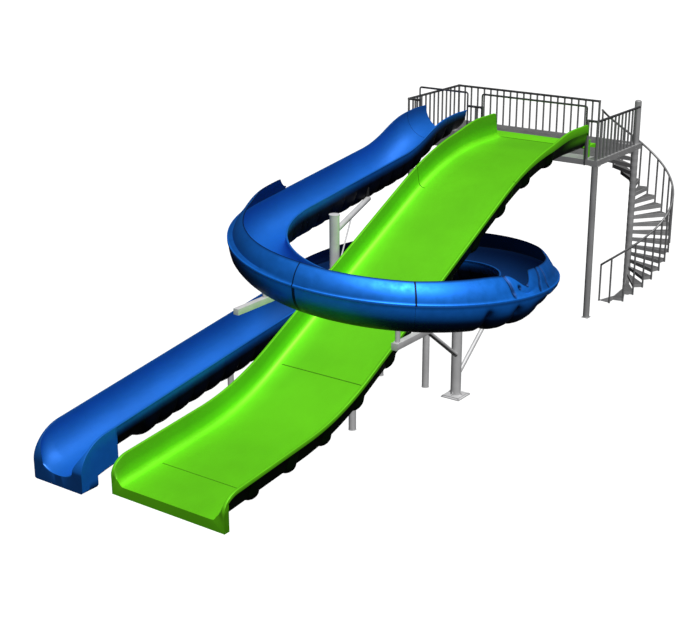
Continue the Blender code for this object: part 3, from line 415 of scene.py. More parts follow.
def chequer_plate(name, colour):
    """Walking surface: small raised lozenges in two directions, brighter where feet have polished them."""
    nodes = Nodes(name)
    heights = []
    for turn, move in ((math.radians(45), 0.0), (math.radians(-45), 0.021)):
        inputs = {"Rotation": (0, 0, turn), "Location": (move, move, 0), "Scale": (1, 1, 0)}
        turned = nodes.add("Mapping", {"Vector": nodes.place, **inputs})
        split = nodes.add("SeparateXYZ", {"Vector": turned.outputs["Vector"]})
        waves = []
        for axis, pitch, valley in (("X", 0.042, 0.45), ("Y", 0.084, 0.1)):
            wave = nodes.compute("MULTIPLY", split.outputs[axis], 2 * math.pi / pitch)
            waves.append(nodes.spread(nodes.compute("COSINE", wave), 0.0, 1.0, valley, 0.95))
        heights.append(nodes.compute("MULTIPLY", *waves))
    raised = nodes.compute("MAXIMUM", *heights)
    base = nodes.tones(nodes.noise(3.0, 5.0), colour, 0.8, 1.15)
    polished = nodes.mix(nodes.spread(raised, 0.0, 0.55), base, tinted(colour, 1.9))
    roughness = nodes.spread(nodes.noise(12.0, 4.0), 0.36, 0.58, 0.3, 0.7)
    return nodes.finish(polished, roughness, Normal=nodes.bump(raised, 0.6, 0.003), Metallic=0.25)


MATERIALS = {
    # The ride green is brightened so the fillets, at no shade, stand out as a painted highlight against the
    # painted shade of the walls and floor
    "green": gelcoat("green_gelcoat_ride", tinted(GREEN, 1.3), tinted(GREEN_PAINTED_SHADE, 1.0)),
    "green_back": backing("green_gelcoat_back", GREEN, GREEN_PAINTED_SHADE),
    "green_seam": sealant("green_seam", tinted(GREEN, 0.22)),
    "blue": gelcoat("blue_gelcoat_ride", BLUE, tinted(BLUE_PAINTED_SHADE, 1.0)),
    # The outside blue is brightened as painted light where the loop's front is left unshaded
    "blue_back": backing("blue_gelcoat_back", tinted(BLUE, 1.28), BLUE_PAINTED_SHADE),
    "blue_seam": sealant("blue_seam", tinted(BLUE, 0.07)),
    "dark": painted_steel("dark_steel_paint", (0.24, 0.24, 0.242)),
    "rail": painted_steel("rail_steel_paint", (0.135, 0.135, 0.137), (0.30, 0.44)),
    "rail_dark": painted_steel("dark_rail_paint", (0.040, 0.040, 0.042), (0.34, 0.48)),
    "grey": painted_steel("grey_steel_paint", (0.43, 0.43, 0.434), (0.30, 0.46), 0.0, 0.05),
    "plate": chequer_plate("chequer_steel", (0.115, 0.115, 0.116)),
    "bolt": painted_steel("zinc_bolt", (0.50, 0.50, 0.51), (0.25, 0.40), 0.9, 0.10),
    "pad": sealant("rubber_pad", (0.02, 0.02, 0.021)),
}
GREEN_SKIN = ("green", "green_back", "green_seam")
BLUE_SKIN = ("blue", "blue_back", "blue_seam")


# Pieces

def placed(name, data):
    """A new object in the scene."""
    item = bpy.data.objects.new(name, data)
    bpy.context.scene.collection.objects.link(item)
    return item


def meshed(name, bm):
    """A new object in the scene from a bmesh, which is freed."""
    mesh = bpy.data.meshes.new(name)
    bm.to_mesh(mesh)
    bm.free()
    return placed(name, mesh)


def add_piece(name, bm, materials, replaces=(), sharp=35):
    """Turns a bmesh in the part's own frame into a piece that rides on the body."""
    bmesh.ops.recalc_face_normals(bm, faces=bm.faces)
    bmesh.ops.translate(bm, verts=bm.verts, vec=SHIFT)
    item = meshed(name, bm)
    item.data.shade_smooth()
    item.data.set_sharp_from_angle(angle=math.radians(sharp))
    for key in materials:
        item.data.materials.append(MATERIALS[key])
    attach(item, BODY)
    if replaces:
        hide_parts(*replaces)


def paint(verts, index):
    for face in {face for vert in verts for face in vert.link_faces}:
        face.material_index = index


def rounded_box(bm, low, high, bevel=0.004, index=0):
    low, high = Vector(low), Vector(high)
    size = high - low
    placing = Matrix.Translation((low + high) / 2) @ Matrix.Diagonal((*size, 1.0))
    made = bmesh.ops.create_cube(bm, size=1.0, matrix=placing)["verts"]
    paint(made, index)
    edges = list({edge for vert in made for edge in vert.link_edges})
    bmesh.ops.bevel(bm, geom=edges, offset=min(bevel, 0.3 * min(size)), segments=2, profile=0.7,
                    affect="EDGES", material=index)


def rod(bm, start, end, radius, sides=16, index=0, radius_end=None, bevel=0.0):
    """A capped round bar between two points."""
    first, last = Vector(start), Vector(end)
    axis = last - first
    placing = Matrix.Translation((first + last) / 2) @ axis.to_track_quat("Z", "Y").to_matrix().to_4x4()
    made = bmesh.ops.create_cone(bm, cap_ends=True, segments=sides, radius1=radius,
                                 radius2=radius_end or radius, depth=axis.length, matrix=placing)["verts"]
    paint(made, index)
    if bevel:
        caps = {face for vert in made for face in vert.link_faces if len(face.verts) > 4}
        rims = list({edge for face in caps for edge in face.edges})
        bmesh.ops.bevel(bm, geom=rims, offset=bevel, segments=2, profile=0.6, affect="EDGES", material=index)


def upright(bm, foot, low, high, radius, sides=16, index=0, **shape):
    """A rod straight up between two heights over foot."""
    rod(bm, foot + UP * low, foot + UP * high, radius, sides, index, **shape)


def join_rings(bm, rings, index=0, caps=True):
    """Faces between closed rings of vertices, and over the first and the last."""
    for ring, other in zip(rings, rings[1:]):
        for step in range(len(ring)):
            after = (step + 1) % len(ring)
            bm.faces.new((ring[step], ring[after], other[after], other[step])).material_index = index
    if caps:
        for ring in (rings[0], rings[-1]):
            bm.faces.new(ring).material_index = index


def tube(bm, points, radius, sides=12, index=0):
    """A round tube that follows a line of points without twisting."""
    points = [Vector(point) for point in points]
    turns = [2 * math.pi * step / sides for step in range(sides)]
    normal = (points[1] - points[0]).normalized().orthogonal().normalized()
    rings = []
    for before, point, after in zip(points[:1] + points, points, points[1:] + points[-1:]):
        tangent = (after - before).normalized()
        normal = (normal - tangent * normal.dot(tangent)).normalized()
        side = tangent.cross(normal)
        spokes = [(normal * math.cos(turn) + side * math.sin(turn)) * radius for turn in turns]
        rings.append([bm.verts.new(point + spoke) for spoke in spokes])
    join_rings(bm, rings, index)


def bolt(bm, centre, normal, size, index=1):
    """A hexagon head on a washer."""
    centre, normal = Vector(centre), Vector(normal).normalized()
    rod(bm, centre - normal * 0.002, centre + normal * 0.25 * size, size * 1.5, 12, index)
    rod(bm, centre, centre + normal * size * 0.95, size, 6, index, size * 0.93)


def base_plate(bm, foot, half_x, half_y, thickness, size=0.014, inset=0.035, bevel=0.004):
    """A plate on the ground below a post, with a bolt near each corner."""
    half = Vector((half_x, half_y, 0))
    rounded_box(bm, foot - half, foot + half + UP * thickness, bevel)
    for side_x in (-1, 1):
        for side_y in (-1, 1):
            spot = foot + Vector((side_x * (half_x - inset), side_y * (half_y - inset), thickness))
            bolt(bm, spot, UP, size)


def corner(x, z, turn_x, turn_z, radius):
    """Three points that round a corner; the turns point from the corner along its two sides."""
    return [(x + turn_x[0] * radius, z + turn_x[1] * radius),
            (x + (turn_x[0] + turn_z[0]) * radius * 0.3, z + (turn_x[1] + turn_z[1]) * radius * 0.3),
            (x + turn_z[0] * radius, z + turn_z[1] * radius)]


def loft_piece(name, sections, materials, replaces, seams=None):
    """A closed shell through fine sections, each with an inner line, an outer line and the painted shade
    along both.
    Seams maps a section's number to the steps of its lines that are sealant up to the next section."""
    bm = bmesh.new()
    shade_layer = bm.verts.layers.float.new("shade")
    rows = []
    for inner, outer, inner_shades, outer_shades in sections:
        row = []
        for points, shades in ((inner, inner_shades), (outer, outer_shades)):
            verts = [bm.verts.new(point) for point in points]
            for vert, shade in zip(verts, shades):
                vert[shade_layer] = shade
            row.append(verts)
        rows.append(row)
    for number, (row, after) in enumerate(zip(rows, rows[1:])):
        sealed = (seams or {}).get(number, ())
        for index, (line, other) in enumerate(zip(row, after)):
            for step in range(len(line) - 1):
                face = bm.faces.new((line[step], line[step + 1], other[step + 1], other[step]))
                face.material_index = 2 if step in sealed else index
        for end in (0, -1):
            bm.faces.new((row[1][end], row[0][end], after[0][end], after[1][end]))
    for inner, outer in (rows[0], rows[-1]):
        for step in range(len(inner) - 1):
            bm.faces.new((inner[step], inner[step + 1], outer[step + 1], outer[step]))
    add_piece(name, bm, materials, replaces, 40)


def with_seams(places, first, last):
    """Station places with a narrow strip at the ends that show a joint, and the strips' steps."""
    made = [place for place in places[1:-1] if places[0] + 2 * SEAM < place < places[-1] - 2 * SEAM]
    made = [places[0]] + ([places[0] + SEAM] if first else []) + made
    made += ([places[-1] - SEAM] if last else []) + [places[-1]]
    return made, {0: first, len(made) - 2: last}


# Wide slide

def slide_floor(y):
    return profile_height(y, SLIDE_PROFILE, SLIDE_BLENDS)


def slide_centre(y):
    return blend(*SLIDE_CENTRE_X, ramp(y, SLIDE_START_Y, SLIDE_END_Y))


def slide_rim(y):
    height = blend(*RIM_HEIGHTS, eased(y, *RIM_RISE_Y))
    height -= RIM_END_ROUND * (1 - rounded(SLIDE_END_Y - y, 0, RIM_END_ROUND))
    return blend(RIM_FRONT, height, rounded(y, SLIDE_START_Y, SLIDE_START_Y + RIM_FRONT_LENGTH))


def rib_hump(y):
    """How far y lies under a rib, as a rounded hump of height one with a clean foot."""
    return max((1 - min(1.0, abs(y - rib) / SLIDE_RIB_HALF) ** 2.2) ** 0.7 for rib in SLIDE_RIBS_Y)


def bezier(points):
    """Six points on a cubic curve, its first point left out."""
    line = []
    for t in [index / 6 for index in range(1, 7)]:
        weights = ((1 - t) ** 3, 3 * t * (1 - t) ** 2, 3 * t * t * (1 - t), t ** 3)
        line.append(tuple(sum(w * p[axis] for w, p in zip(weights, points)) for axis in (0, 1)))
    return line


def slide_lines(y, foot):
    """Half of the section at y, from the flange edge to the middle: inner line, outer line, outer painted
    shade.
    """
    rim = slide_rim(y)
    lip = rim - RIM_LIP - RIM_BAND_TOP * eased(y, 1.5, 5.2)
    side = blend(*SLIDE_EDGE_HALF, ramp(y, SLIDE_START_Y, SLIDE_END_Y))
    wall = side - RIM_FLANGE
    fillet = min(SLIDE_FILLET[1], 0.8 * rim)
    edge = SLIDE_FLOOR_HALF + SLIDE_FILLET[0]
    rounding = min(0.014, 0.3 * (rim - fillet))
    lean = (wall - edge) / max(0.05, rim - fillet)
    inner = corner(side, rim, (0, -1), (-1, 0), 0.012) + corner(wall, rim, (1, 0), (0, -1), rounding)
    inner += [((wall + edge) / 2, (rim - rounding + fillet) / 2), (edge, fillet)]
    inner += bezier([inner[-1], (edge - lean * 0.06, fillet * 0.45), (edge - 0.07, 0.0),
                     (SLIDE_FLOOR_HALF, 0.0)])
    inner += [(SLIDE_FLOOR_HALF * share, 0.0) for share in (0.66, 0.33)]
    outer = corner(side, lip, (0, 1), (-1, 0), 0.008)
    if foot:
        ground, plate = -slide_floor(y), side - 0.003
        outer += [(plate, blend(lip, ground, share)) for share in (0.02, 0.2, 0.4, 0.6, 0.7, 0.8, 0.9, 0.96)]
        outer += [(plate * share, ground) for share in (1.0, 0.98, 0.92, 0.84, 0.66)]
        # Painted shade over the outside of the foot and its front face
        return inner, outer, [0.25] * HALF_POINTS
    depth = blend(SHELL, SLIDE_RIB_DEPTH, rib_hump(y))
    outer += corner(wall + min(0.002 + depth, 0.85 * RIM_FLANGE), lip, (1, 0), (0, -1), 0.006)
    root = outer[-3][0] - 0.006
    outer += [((root + edge + depth) / 2, (lip + fillet) / 2 - 0.01), (edge + depth, fillet - 0.3 * depth)]
    outer += bezier([outer[-1], (edge + depth * 0.9, fillet * 0.3 - depth * 0.7), (edge - 0.05, -depth),
                     (SLIDE_FLOOR_HALF, -depth)])
    outer += [(SLIDE_FLOOR_HALF * share, -depth) for share in (0.66, 0.33)]
    # Painted shade: the outer wall and underside go dark below the lip, less near the upper end
    painted_shade_share = 1.0 - 0.85 * eased(y, 4.3, 5.6)
    return inner, outer, [0.0] * 3 + [0.8 * painted_shade_share, 0.9 * painted_shade_share, painted_shade_share, painted_shade_share] + [1.0] * (HALF_POINTS - 7)


def slide_section(y, foot=False):
    inner, outer, shades = slide_lines(y, foot)
    centre, floor = slide_centre(y), slide_floor(y)
    lines = []
    for half in (inner, outer):
        whole = [(-offset, height) for offset, height in half] + half[::-1]
        lines.append([Vector((centre + offset, y, floor + height)) for offset, height in whole])
    return *lines, RIDE_SHADES + RIDE_SHADES[::-1], shades + shades[::-1]


def slide_stations(start, end):
    """Places along the slide, closer together round the ribs and the rounded upper end."""
    places = set(spaced(start, end, SLIDE_STEP))
    for rib in SLIDE_RIBS_Y:
        places.update(rib + side * share * SLIDE_RIB_HALF for share in RIB_SHARES for side in (-1, 1))
    if end == SLIDE_END_Y:
        places.update(end - RIM_END_ROUND * share for share in (1.0, 0.75, 0.5, 0.3, 0.15, 0.06))
    kept = [start]
    for y in sorted(places):
        if y - kept[-1] > 0.004 and end - y > 0.004:
            kept.append(y)
    return kept + [end]


def build_wide_slide():
    sections = [slide_section(SLIDE_START_Y + step, foot=True) for step in SLIDE_FOOT_STEPS]
    sections += [slide_section(SLIDE_START_Y + step) for step in SLIDE_NOSE_STEPS]
    places, seams = with_seams(slide_stations(SLIDE_START_Y + 0.475, SLIDE_JOINTS_Y[0]), (), FLOOR_STEPS)
    seams = {len(sections) + number: steps for number, steps in seams.items()}
    sections += [slide_section(y) for y in places]
    loft_piece("wide_slide_outlet", sections, GREEN_SKIN, ["green_outlet"], seams)
    shown = (FLOOR_STEPS, FLOOR_STEPS, SIDE_STEPS, ())
    for index, name in enumerate(("lower", "middle", "upper")):
        start, end = SLIDE_JOINTS_Y[index:index + 2]
        places, seams = with_seams(slide_stations(start + GAP, end), *shown[index:index + 2])
        sections = [slide_section(y) for y in places]
        loft_piece(f"wide_slide_{name}", sections, GREEN_SKIN, [f"green_{name}"], seams)


def build_sill():
    """The flat start of the wide slide, with its joint and its two cheeks."""
    bm = bmesh.new()
    low_x, high_x = SILL_X
    top = SLIDE_PROFILE[-1][1]
    front_y, cheek_y, foot_z = SLIDE_END_Y + 0.001, DECK_Y[0] + 0.004, DECK_TOP + 0.001
    joint_y = front_y + SILL_JOINT
    rounded_box(bm, (low_x, front_y, top - SHELL), (high_x, joint_y, top - 0.001), 0.002, 1)
    rounded_box(bm, (low_x, joint_y + 0.001, top - SHELL), (high_x, SILL_BACK_Y, top), 0.006)
    rounded_box(bm, (low_x, SILL_BACK_Y - SHELL, top - 0.12), (high_x, SILL_BACK_Y, top - 0.004))
    rounded_box(bm, (low_x, cheek_y, foot_z), (low_x + SHELL, SILL_BACK_Y - 0.002, top - 0.004))
    cheek = (high_x, DECK_Y[0] + CHEEK_LENGTH, top + CHEEK_RISE)
    rounded_box(bm, (high_x - SHELL, cheek_y, foot_z), cheek, 0.006)
    add_piece("wide_slide_sill", bm, ("green", "green_seam"), ["green_sill"])


# Half-pipe: each station is the middle of its bottom, the outward direction and the height of its rim

def entry_station(y):
    rim = blend(PIPE_RIM, PIPE_RIM_DECK, eased(y, *PIPE_RIM_DROP_Y))
    return Vector((ENTRY_X, y, profile_height(y, ENTRY_PROFILE, ENTRY_BLENDS))), Vector((-1, 0, 0)), rim


def loop_station(angle):
    share = (angle - LOOP_JOINTS[0]) / 360
    square, cube = share ** 2, share ** 3
    bottom = ((2 * cube - 3 * square + 1) * LOOP_BOTTOMS[0] + (cube - 2 * square + share) * LOOP_SLOPES[0]
              + (3 * square - 2 * cube) * LOOP_BOTTOMS[1] + (cube - square) * LOOP_SLOPES[1])
    radius = blend(LOOP_RADIUS, LOOP_CENTRE.x - EXIT_X, eased(angle, *WIDENING))
    turn = math.radians(angle)
    outward = Vector((math.cos(turn), math.sin(turn), 0))
    return LOOP_CENTRE + outward * radius + UP * bottom, outward, PIPE_RIM


def exit_station(y):
    bottom = OUTLET_BOTTOM + EXIT_SLOPE * (y - OUTLET_FRONT_Y)
    rim = blend(OUTLET_RIM, PIPE_RIM, rounded(y, OUTLET_FRONT_Y, OUTLET_FRONT_Y + OUTLET_RIM_LENGTH))
    return Vector((EXIT_X, y, bottom)), Vector((-1, 0, 0)), rim


def in_space(station, line):
    origin, outward, _ = station
    return [origin + outward * offset + UP * height for offset, height in line]


def pipe_lines(rim, scallop=0.0, lip=1.0, cut=0.0, dark=RUN_DARK):
    """Inner line, outer line and outer painted shade of the section, from the outward flange to the inward
    one.
    The body is pulled in by cut below its flanges, and painted shade darkens its outside over the share given
    by dark."""
    hub = min(PIPE_RADIUS, rim - 0.045)
    wall = PIPE_RADIUS * blend(0.646, 1.0, eased(rim, OUTLET_RIM, PIPE_RADIUS))
    under = rim - FLANGE_DEPTH
    arcs, shades = ([], []), []
    for index in range(ARC_STEPS + 1):
        turn = math.pi * index / ARC_STEPS
        outside = turn < math.pi / 2
        pulled = cut * eased(math.sin(turn), 0.0, 0.35) if outside else cut
        moved = cut * max(0.0, 2 * index / ARC_STEPS - 1) ** 2
        for arc, grown in zip(arcs, (0.0, SHELL + scallop * eased(math.sin(turn), 0.25, 0.75))):
            arc.append(((wall - pulled + grown) * math.cos(turn) - moved,
                        hub - (hub - pulled + grown) * math.sin(turn)))
        # Painted shade on the outside, darkest low down
        shades.append(eased(math.sin(turn), *(dark if outside else INWARD_DARK)))
    bare = wall + SHELL + 0.004
    ends = []
    for side, flange in ((1, blend(bare, PIPE_FLANGE_HALF, lip)), (-1, PIPE_FLANGE_HALF)):
        step = min(LIP_ROUND, 0.3 * (flange - wall - SHELL + 0.004))
        above = corner(side * flange, rim, (0, -1), (-side, 0), step)
        above += corner(side * wall, rim, (side, 0), (0, -1), step)
        below = corner(side * flange, under, (0, 1), (-side, 0), step)
        below += corner(side * (wall + SHELL), under, (side, 0), (0, -1), 0.3 * step)
        ends.append((above, below))
    inner, outer = [first + arc + last[::-1] for first, arc, last in zip(ends[0], arcs, ends[1])]
    return inner, outer, [0.0] * 6 + shades + [0.0] * 6


def bank_shades():
    """Painted shade along the ride surface, dark only on its outward side."""
    return [BANK_GLOOM * falling(index / (PIPE_POINTS - 1), 0.06, 0.42) for index in range(PIPE_POINTS)]


def pipe_section(station, scallop=0.0, lip=1.0, cut=0.0, dark=RUN_DARK, gloom=0.0):
    """One section in space; gloom is painted shadow that darkens the whole ride surface, most on its outward
    side.
    """
    inner, outer, shades = pipe_lines(station[2], scallop, lip, cut, dark)
    fading = [gloom * (1.0 - 0.75 * index / (PIPE_POINTS - 1)) for index in range(PIPE_POINTS)]
    return in_space(station, inner), in_space(station, outer), list(map(max, fading, bank_shades())), shades


def outlet_section(station, base):
    """Section where the outlet is boxed in: straight sides down to the height base."""
    boxed = []
    for index in range(PIPE_POINTS):
        offset = 1 - 2 * index / (PIPE_POINTS - 1)
        inward = ramp(1 - abs(offset), 0.4, 1.0)
        height = blend(station[2] - FLANGE_DEPTH, base - station[0].z, ramp(1 - abs(offset), 0.0, 0.4))
        boxed.append((math.copysign(PIPE_FLANGE_HALF * (1 - inward), offset), height))
    inner = pipe_lines(station[2])[0]
    return in_space(station, inner), in_space(station, boxed), bank_shades(), [0.0] * PIPE_POINTS


def steep_hump(offset):
    """A hump of height one with steep feet at -1 and 1."""
    return math.sqrt(1 - min(1.0, abs(offset)) ** 2.4)


def scallop_at(length, strength):
    """Depth of the moulded humps below the pipe at a running length."""
    return SCALLOP_DEPTH * strength * steep_hump(2 * ((length / SCALLOP_PITCH) % 1.0) - 1.0)


def loop_cut(angle):
    """How far the body is drawn in: sharp cusps between the large lumps, and slimmer behind them."""
    drawn = EAST_CUT * eased(angle, *EAST_CUT_IN) * falling(angle, *EAST_CUT_OUT)
    for first, last in zip(LUMP_CUSPS, LUMP_CUSPS[1:]):
        if first <= angle <= last:
            return drawn + LUMP_DEPTH * (1 - steep_hump(2 * (angle - first) / (last - first) - 1))
    distance = max(LUMP_CUSPS[0] - angle, angle - LUMP_CUSPS[-1])
    return drawn + LUMP_DEPTH * max(0.0, 1 - distance / 4.0) ** 2


def gloom_at(angle):
    """Painted shadow on the ride surface, as of its own high wall in the east and the north."""
    north = eased(angle, *NORTH_GLOOM_IN) * (1 - 0.25 * eased(angle, *NORTH_GLOOM_OUT))
    return max(north, 0.55 * eased(angle, *FRONT_GLOOM_IN) * (1 - ramp(angle, *FRONT_GLOOM_OUT)))


def lip_at(angle):
    """The outer flange is full in the west and nearly flush round the front of the loop."""
    return 1.0 - 0.9 * eased(angle, *LIP_OUT) + 0.9 * eased(angle, *LIP_IN)


def loop_section(angle):
    """Small humps in the west and the north; painted shade makes the outside dark early in the west and low
    down in front.
    """
    strength = max(1 - ramp(angle, *HUMPS_OUT), ramp(angle, *HUMPS_IN))
    humps = scallop_at(math.radians(angle) * LOOP_RADIUS, strength)
    front = eased(angle, *DARK_LOWERED)
    dark = (-0.35 + 0.55 * front, 0.38 + 0.50 * front)
    return pipe_section(loop_station(angle), humps, lip_at(angle), loop_cut(angle), dark, gloom_at(angle))


def pipe_piece(name, sections, seams=None):
    loft_piece(f"half_pipe_{name}", sections, BLUE_SKIN, [f"blue_{name}"], seams)


def build_outlet():
    foot_end = OUTLET_FRONT_Y + OUTLET_FOOT_STEPS[-1]
    rim_end, box_end = OUTLET_FRONT_Y + OUTLET_RIM_LENGTH, OUTLET_FRONT_Y + OUTLET_BOX_LENGTH
    sections = [outlet_section(exit_station(OUTLET_FRONT_Y + step), 0.0) for step in OUTLET_FOOT_STEPS]
    # Painted shade on the outlet's front face
    sections[0] = (*sections[0][:2], [OUTLET_FACE_SHADE] * PIPE_POINTS, [OUTLET_FACE_SHADE] * PIPE_POINTS)
    low, middle, high = OUTLET_BOX_BASES
    for y in spaced(foot_end + 0.003, box_end, 0.07):
        base = blend(low, middle, ramp(y, foot_end, rim_end)) + (high - middle) * ramp(y, rim_end, box_end)
        sections.append(outlet_section(exit_station(y), base))
    places = spaced(box_end + 0.003, EXIT_JOINTS_Y[0] - GAP, PIPE_STEP)
    pipe_piece("outlet", sections + [pipe_section(exit_station(y)) for y in places])


def build_half_pipe():
    build_outlet()
    for name, start, end in zip(("runout", "exit"), EXIT_JOINTS_Y, EXIT_JOINTS_Y[1:]):
        sections = []
        for y in spaced(start, end - GAP, PIPE_STEP):
            # Painted shadow of the loop above on the run under it
            gloom = 0.75 * eased(y, -3.4, LOOP_CENTRE.y)
            sections.append(pipe_section(exit_station(y), scallop_at(y, ramp(y, -8.2, -7.9)), gloom=gloom))
        pipe_piece(name, sections)
    for number, (start, end) in enumerate(zip(LOOP_JOINTS, LOOP_JOINTS[1:]), 1):
        angles = spaced(start, end - 0.005, LOOP_STEP)
        angles = [angles[0], angles[0] + SEAM_TURN] + angles[1:-1] + [angles[-1] - SEAM_TURN, angles[-1]]
        seams = {}
        if start < MIDDLE_SEAM < end:
            angles = sorted(angles + [MIDDLE_SEAM - SEAM_TURN, MIDDLE_SEAM + SEAM_TURN])
            seams[angles.index(MIDDLE_SEAM - SEAM_TURN)] = ALL_STEPS
        if start == FRONT_SEAM:
            seams[0] = ALL_STEPS
        if end == FRONT_SEAM:
            seams[len(angles) - 2] = ALL_STEPS
        pipe_piece(f"loop_{number}", [loop_section(angle) for angle in angles], seams)
    for name, start, end, joint in (("entry", LOOP_CENTRE.y + GAP, ENTRY_JOINT_Y, ALL_STEPS),
                                    ("entry_top", ENTRY_JOINT_Y, SLIDE_END_Y, ())):
        places, seams = with_seams(spaced(start, end - GAP, PIPE_STEP), (), joint)
        sections = [pipe_section(entry_station(y), scallop_at(y, 1 - ramp(y, 5.2, 5.5))) for y in places]
        pipe_piece(name, sections, seams)


# Splash walls

def wall_relief(angle, section):
    """How far the wall is pressed in by its creases and dimples, in metres."""
    relief = 0.0
    metres = math.radians(1) * (LOOP_RADIUS + PIPE_RADIUS)
    for (first, high), (last, low) in CREASES:
        share = (section - low) / (high - low)
        distance = (angle - blend(last, first, share)) * metres
        relief += CREASE_DEPTH * eased(share, -0.12, 0.12) * math.exp(-(distance / CREASE_HALF) ** 2)
    for place, height in DIMPLES:
        distance = math.hypot((angle - place) * metres, math.radians(section - height) * PIPE_RADIUS)
        relief += CREASE_DEPTH * math.exp(-(distance / DIMPLE_HALF) ** 2)
    return relief


def splash_top(angle):
    for (start, first), (end, last) in zip(SPLASH_TOP_ANGLES, SPLASH_TOP_ANGLES[1:]):
        if angle <= end:
            return blend(first, last, ramp(angle, start, end))


def splash_section(station, angle, share):
    """The wall on the outward flange, up to a share of its full height, drawn in east and west."""
    rim = station[2] + GAP
    crown = rim + FLANGE_DEPTH
    base = math.degrees(math.asin((crown - PIPE_RADIUS) / PIPE_RADIUS))
    top = blend(base + 4, splash_top(angle), share)
    flange = blend(PIPE_SKIN + 0.004, PIPE_FLANGE_HALF, lip_at(angle))
    step = min(0.006, 0.3 * (flange - PIPE_SKIN + 0.006))
    drawn = WALL_DRAW * eased(angle, *WALL_DRAW_IN) * falling(angle, *WALL_DRAW_OUT)
    ledge = WEST_LEDGE * eased(angle, *LEDGE_IN) * falling(angle, *LEDGE_OUT)
    # Painted light and shade on the wall's outer skin: darker in the west and the east, left bright round the
    # front
    skin = 0.25 * falling(angle, *WEST_SKIN_OUT) + 0.2 * falling(angle, *FRONT_SKIN_OUT)
    skin += 0.42 * eased(angle, *EAST_SKIN_IN)
    inner = [(PIPE_RADIUS, height) for height in (rim, rim + 0.01, rim + 0.02, crown)]
    outer = [(flange, rim)] + corner(flange, crown, (0, -1), (-1, 0), step)
    shades = [0.0] * 4
    for index in range(WALL_STEPS + 1):
        section = blend(base + 1, top, index / WALL_STEPS)
        turn = math.radians(section)
        groove = wall_relief(angle, section)
        pressed = groove + drawn * ramp(index, 0, 3) + ledge * ramp(index, 0, 1)
        taper = 0.005 if index == WALL_STEPS else 0.0
        for line, radius in ((inner, PIPE_RADIUS + taper - pressed), (outer, PIPE_SKIN - taper - pressed)):
            line.append((radius * math.cos(turn), PIPE_RADIUS + radius * math.sin(turn)))
        # Painted shade in the creases and dimples, and at least the skin's shade
        shades.append(max(skin, min(CREASE_SHADE, 3.5 * groove / CREASE_DEPTH)))
    # Painted shade: a dark line along the wall's top edge, inside and out
    shades[-2:] = [max(0.5, shades[-2]), 1.0]
    # Painted shade on the wall's inside: the ride surface's gloom, and more in the west
    gloom = max(gloom_at(angle), 0.85 * falling(angle, *WALL_LIT))
    return in_space(station, inner), in_space(station, outer), [gloom] * (len(shades) - 1) + [1.0], shades


def wall_angles(start, end):
    low, high = FINE_ANGLES
    fine = [angle for angle in spaced(low, high, 0.3) if start < angle < end]
    coarse = [angle for angle in spaced(start, end, LOOP_STEP)[1:-1] if angle < low or angle > high]
    return [start] + sorted(coarse + fine) + [end]


def build_splash_walls():
    notch_start, notch_low, notch_end = NOTCH_ANGLES
    sections = []
    for y in spaced(SPLASH_START_Y, LOOP_CENTRE.y + 0.001, 0.03):
        share = eased(y, SPLASH_START_Y, LOOP_CENTRE.y) ** 0.8
        sections.append(splash_section(entry_station(y), LOOP_JOINTS[0], share))
    seam_edges = [seam + side for seam in (FRONT_SEAM, MIDDLE_SEAM) for side in (-SEAM_TURN, SEAM_TURN)]
    angles = sorted(wall_angles(LOOP_JOINTS[0], notch_low - 0.005) + seam_edges)
    seams = {len(sections) + angles.index(edge): ALL_STEPS for edge in seam_edges[::2]}
    for angle in angles:
        share = blend(1.0, NOTCH_SHARE, eased(angle, notch_start, notch_low))
        sections.append(splash_section(loop_station(angle), angle, share))
    loft_piece("splash_wall_front", sections, BLUE_SKIN, ["splash_wall_outer"], seams)
    sections = []
    for angle in wall_angles(notch_low, SPLASH_END_ANGLES[1]):
        share = blend(NOTCH_SHARE, 1.0, eased(angle, notch_low, notch_end))
        share = min(share, falling(angle, *SPLASH_END_ANGLES))
        sections.append(splash_section(loop_station(angle), angle, share))
    loft_piece("splash_wall_back", sections, BLUE_SKIN, ["splash_wall_inner"])


def below(station, angle, radius):
    """A point of the half-pipe's section round its hub, from the outward flange at 0 to the inward at 180."""
    turn = math.radians(angle)
    return in_space(station, [(radius * math.cos(turn), PIPE_RADIUS - radius * math.sin(turn))])[0]


def build_joint_bands():
    """Bolted flanges under the half-pipe's joints, in the painted shade of its underside."""
    bm = bmesh.new()
    stations = [entry_station(ENTRY_JOINT_Y), exit_station(EXIT_JOINTS_Y[1])]
    for station in stations + [loop_station(angle) for angle in (180, 450, 540)]:
        along = station[1].cross(UP).normalized() * BAND_HALF
        rings = []
        for angle in spaced(24, 156, 5.5):
            ring = [below(station, angle, radius) + along * side for side, radius in BAND_CORNERS]
            rings.append([bm.verts.new(point) for point in ring])
        join_rings(bm, rings)
        for angle in range(30, 151, 15):
            for side in (-1, 1):
                bolt(bm, below(station, angle, BAND_BOLTS) + along * side, along * side, 0.009, 0)
    # Painted shade: every vertex of the bands takes the full dark of the underside
    shade_layer = bm.verts.layers.float.new("shade")
    for vert in bm.verts:
        vert[shade_layer] = 1.0
    add_piece("pipe_joint_bands", bm, ("blue",))


# Platform

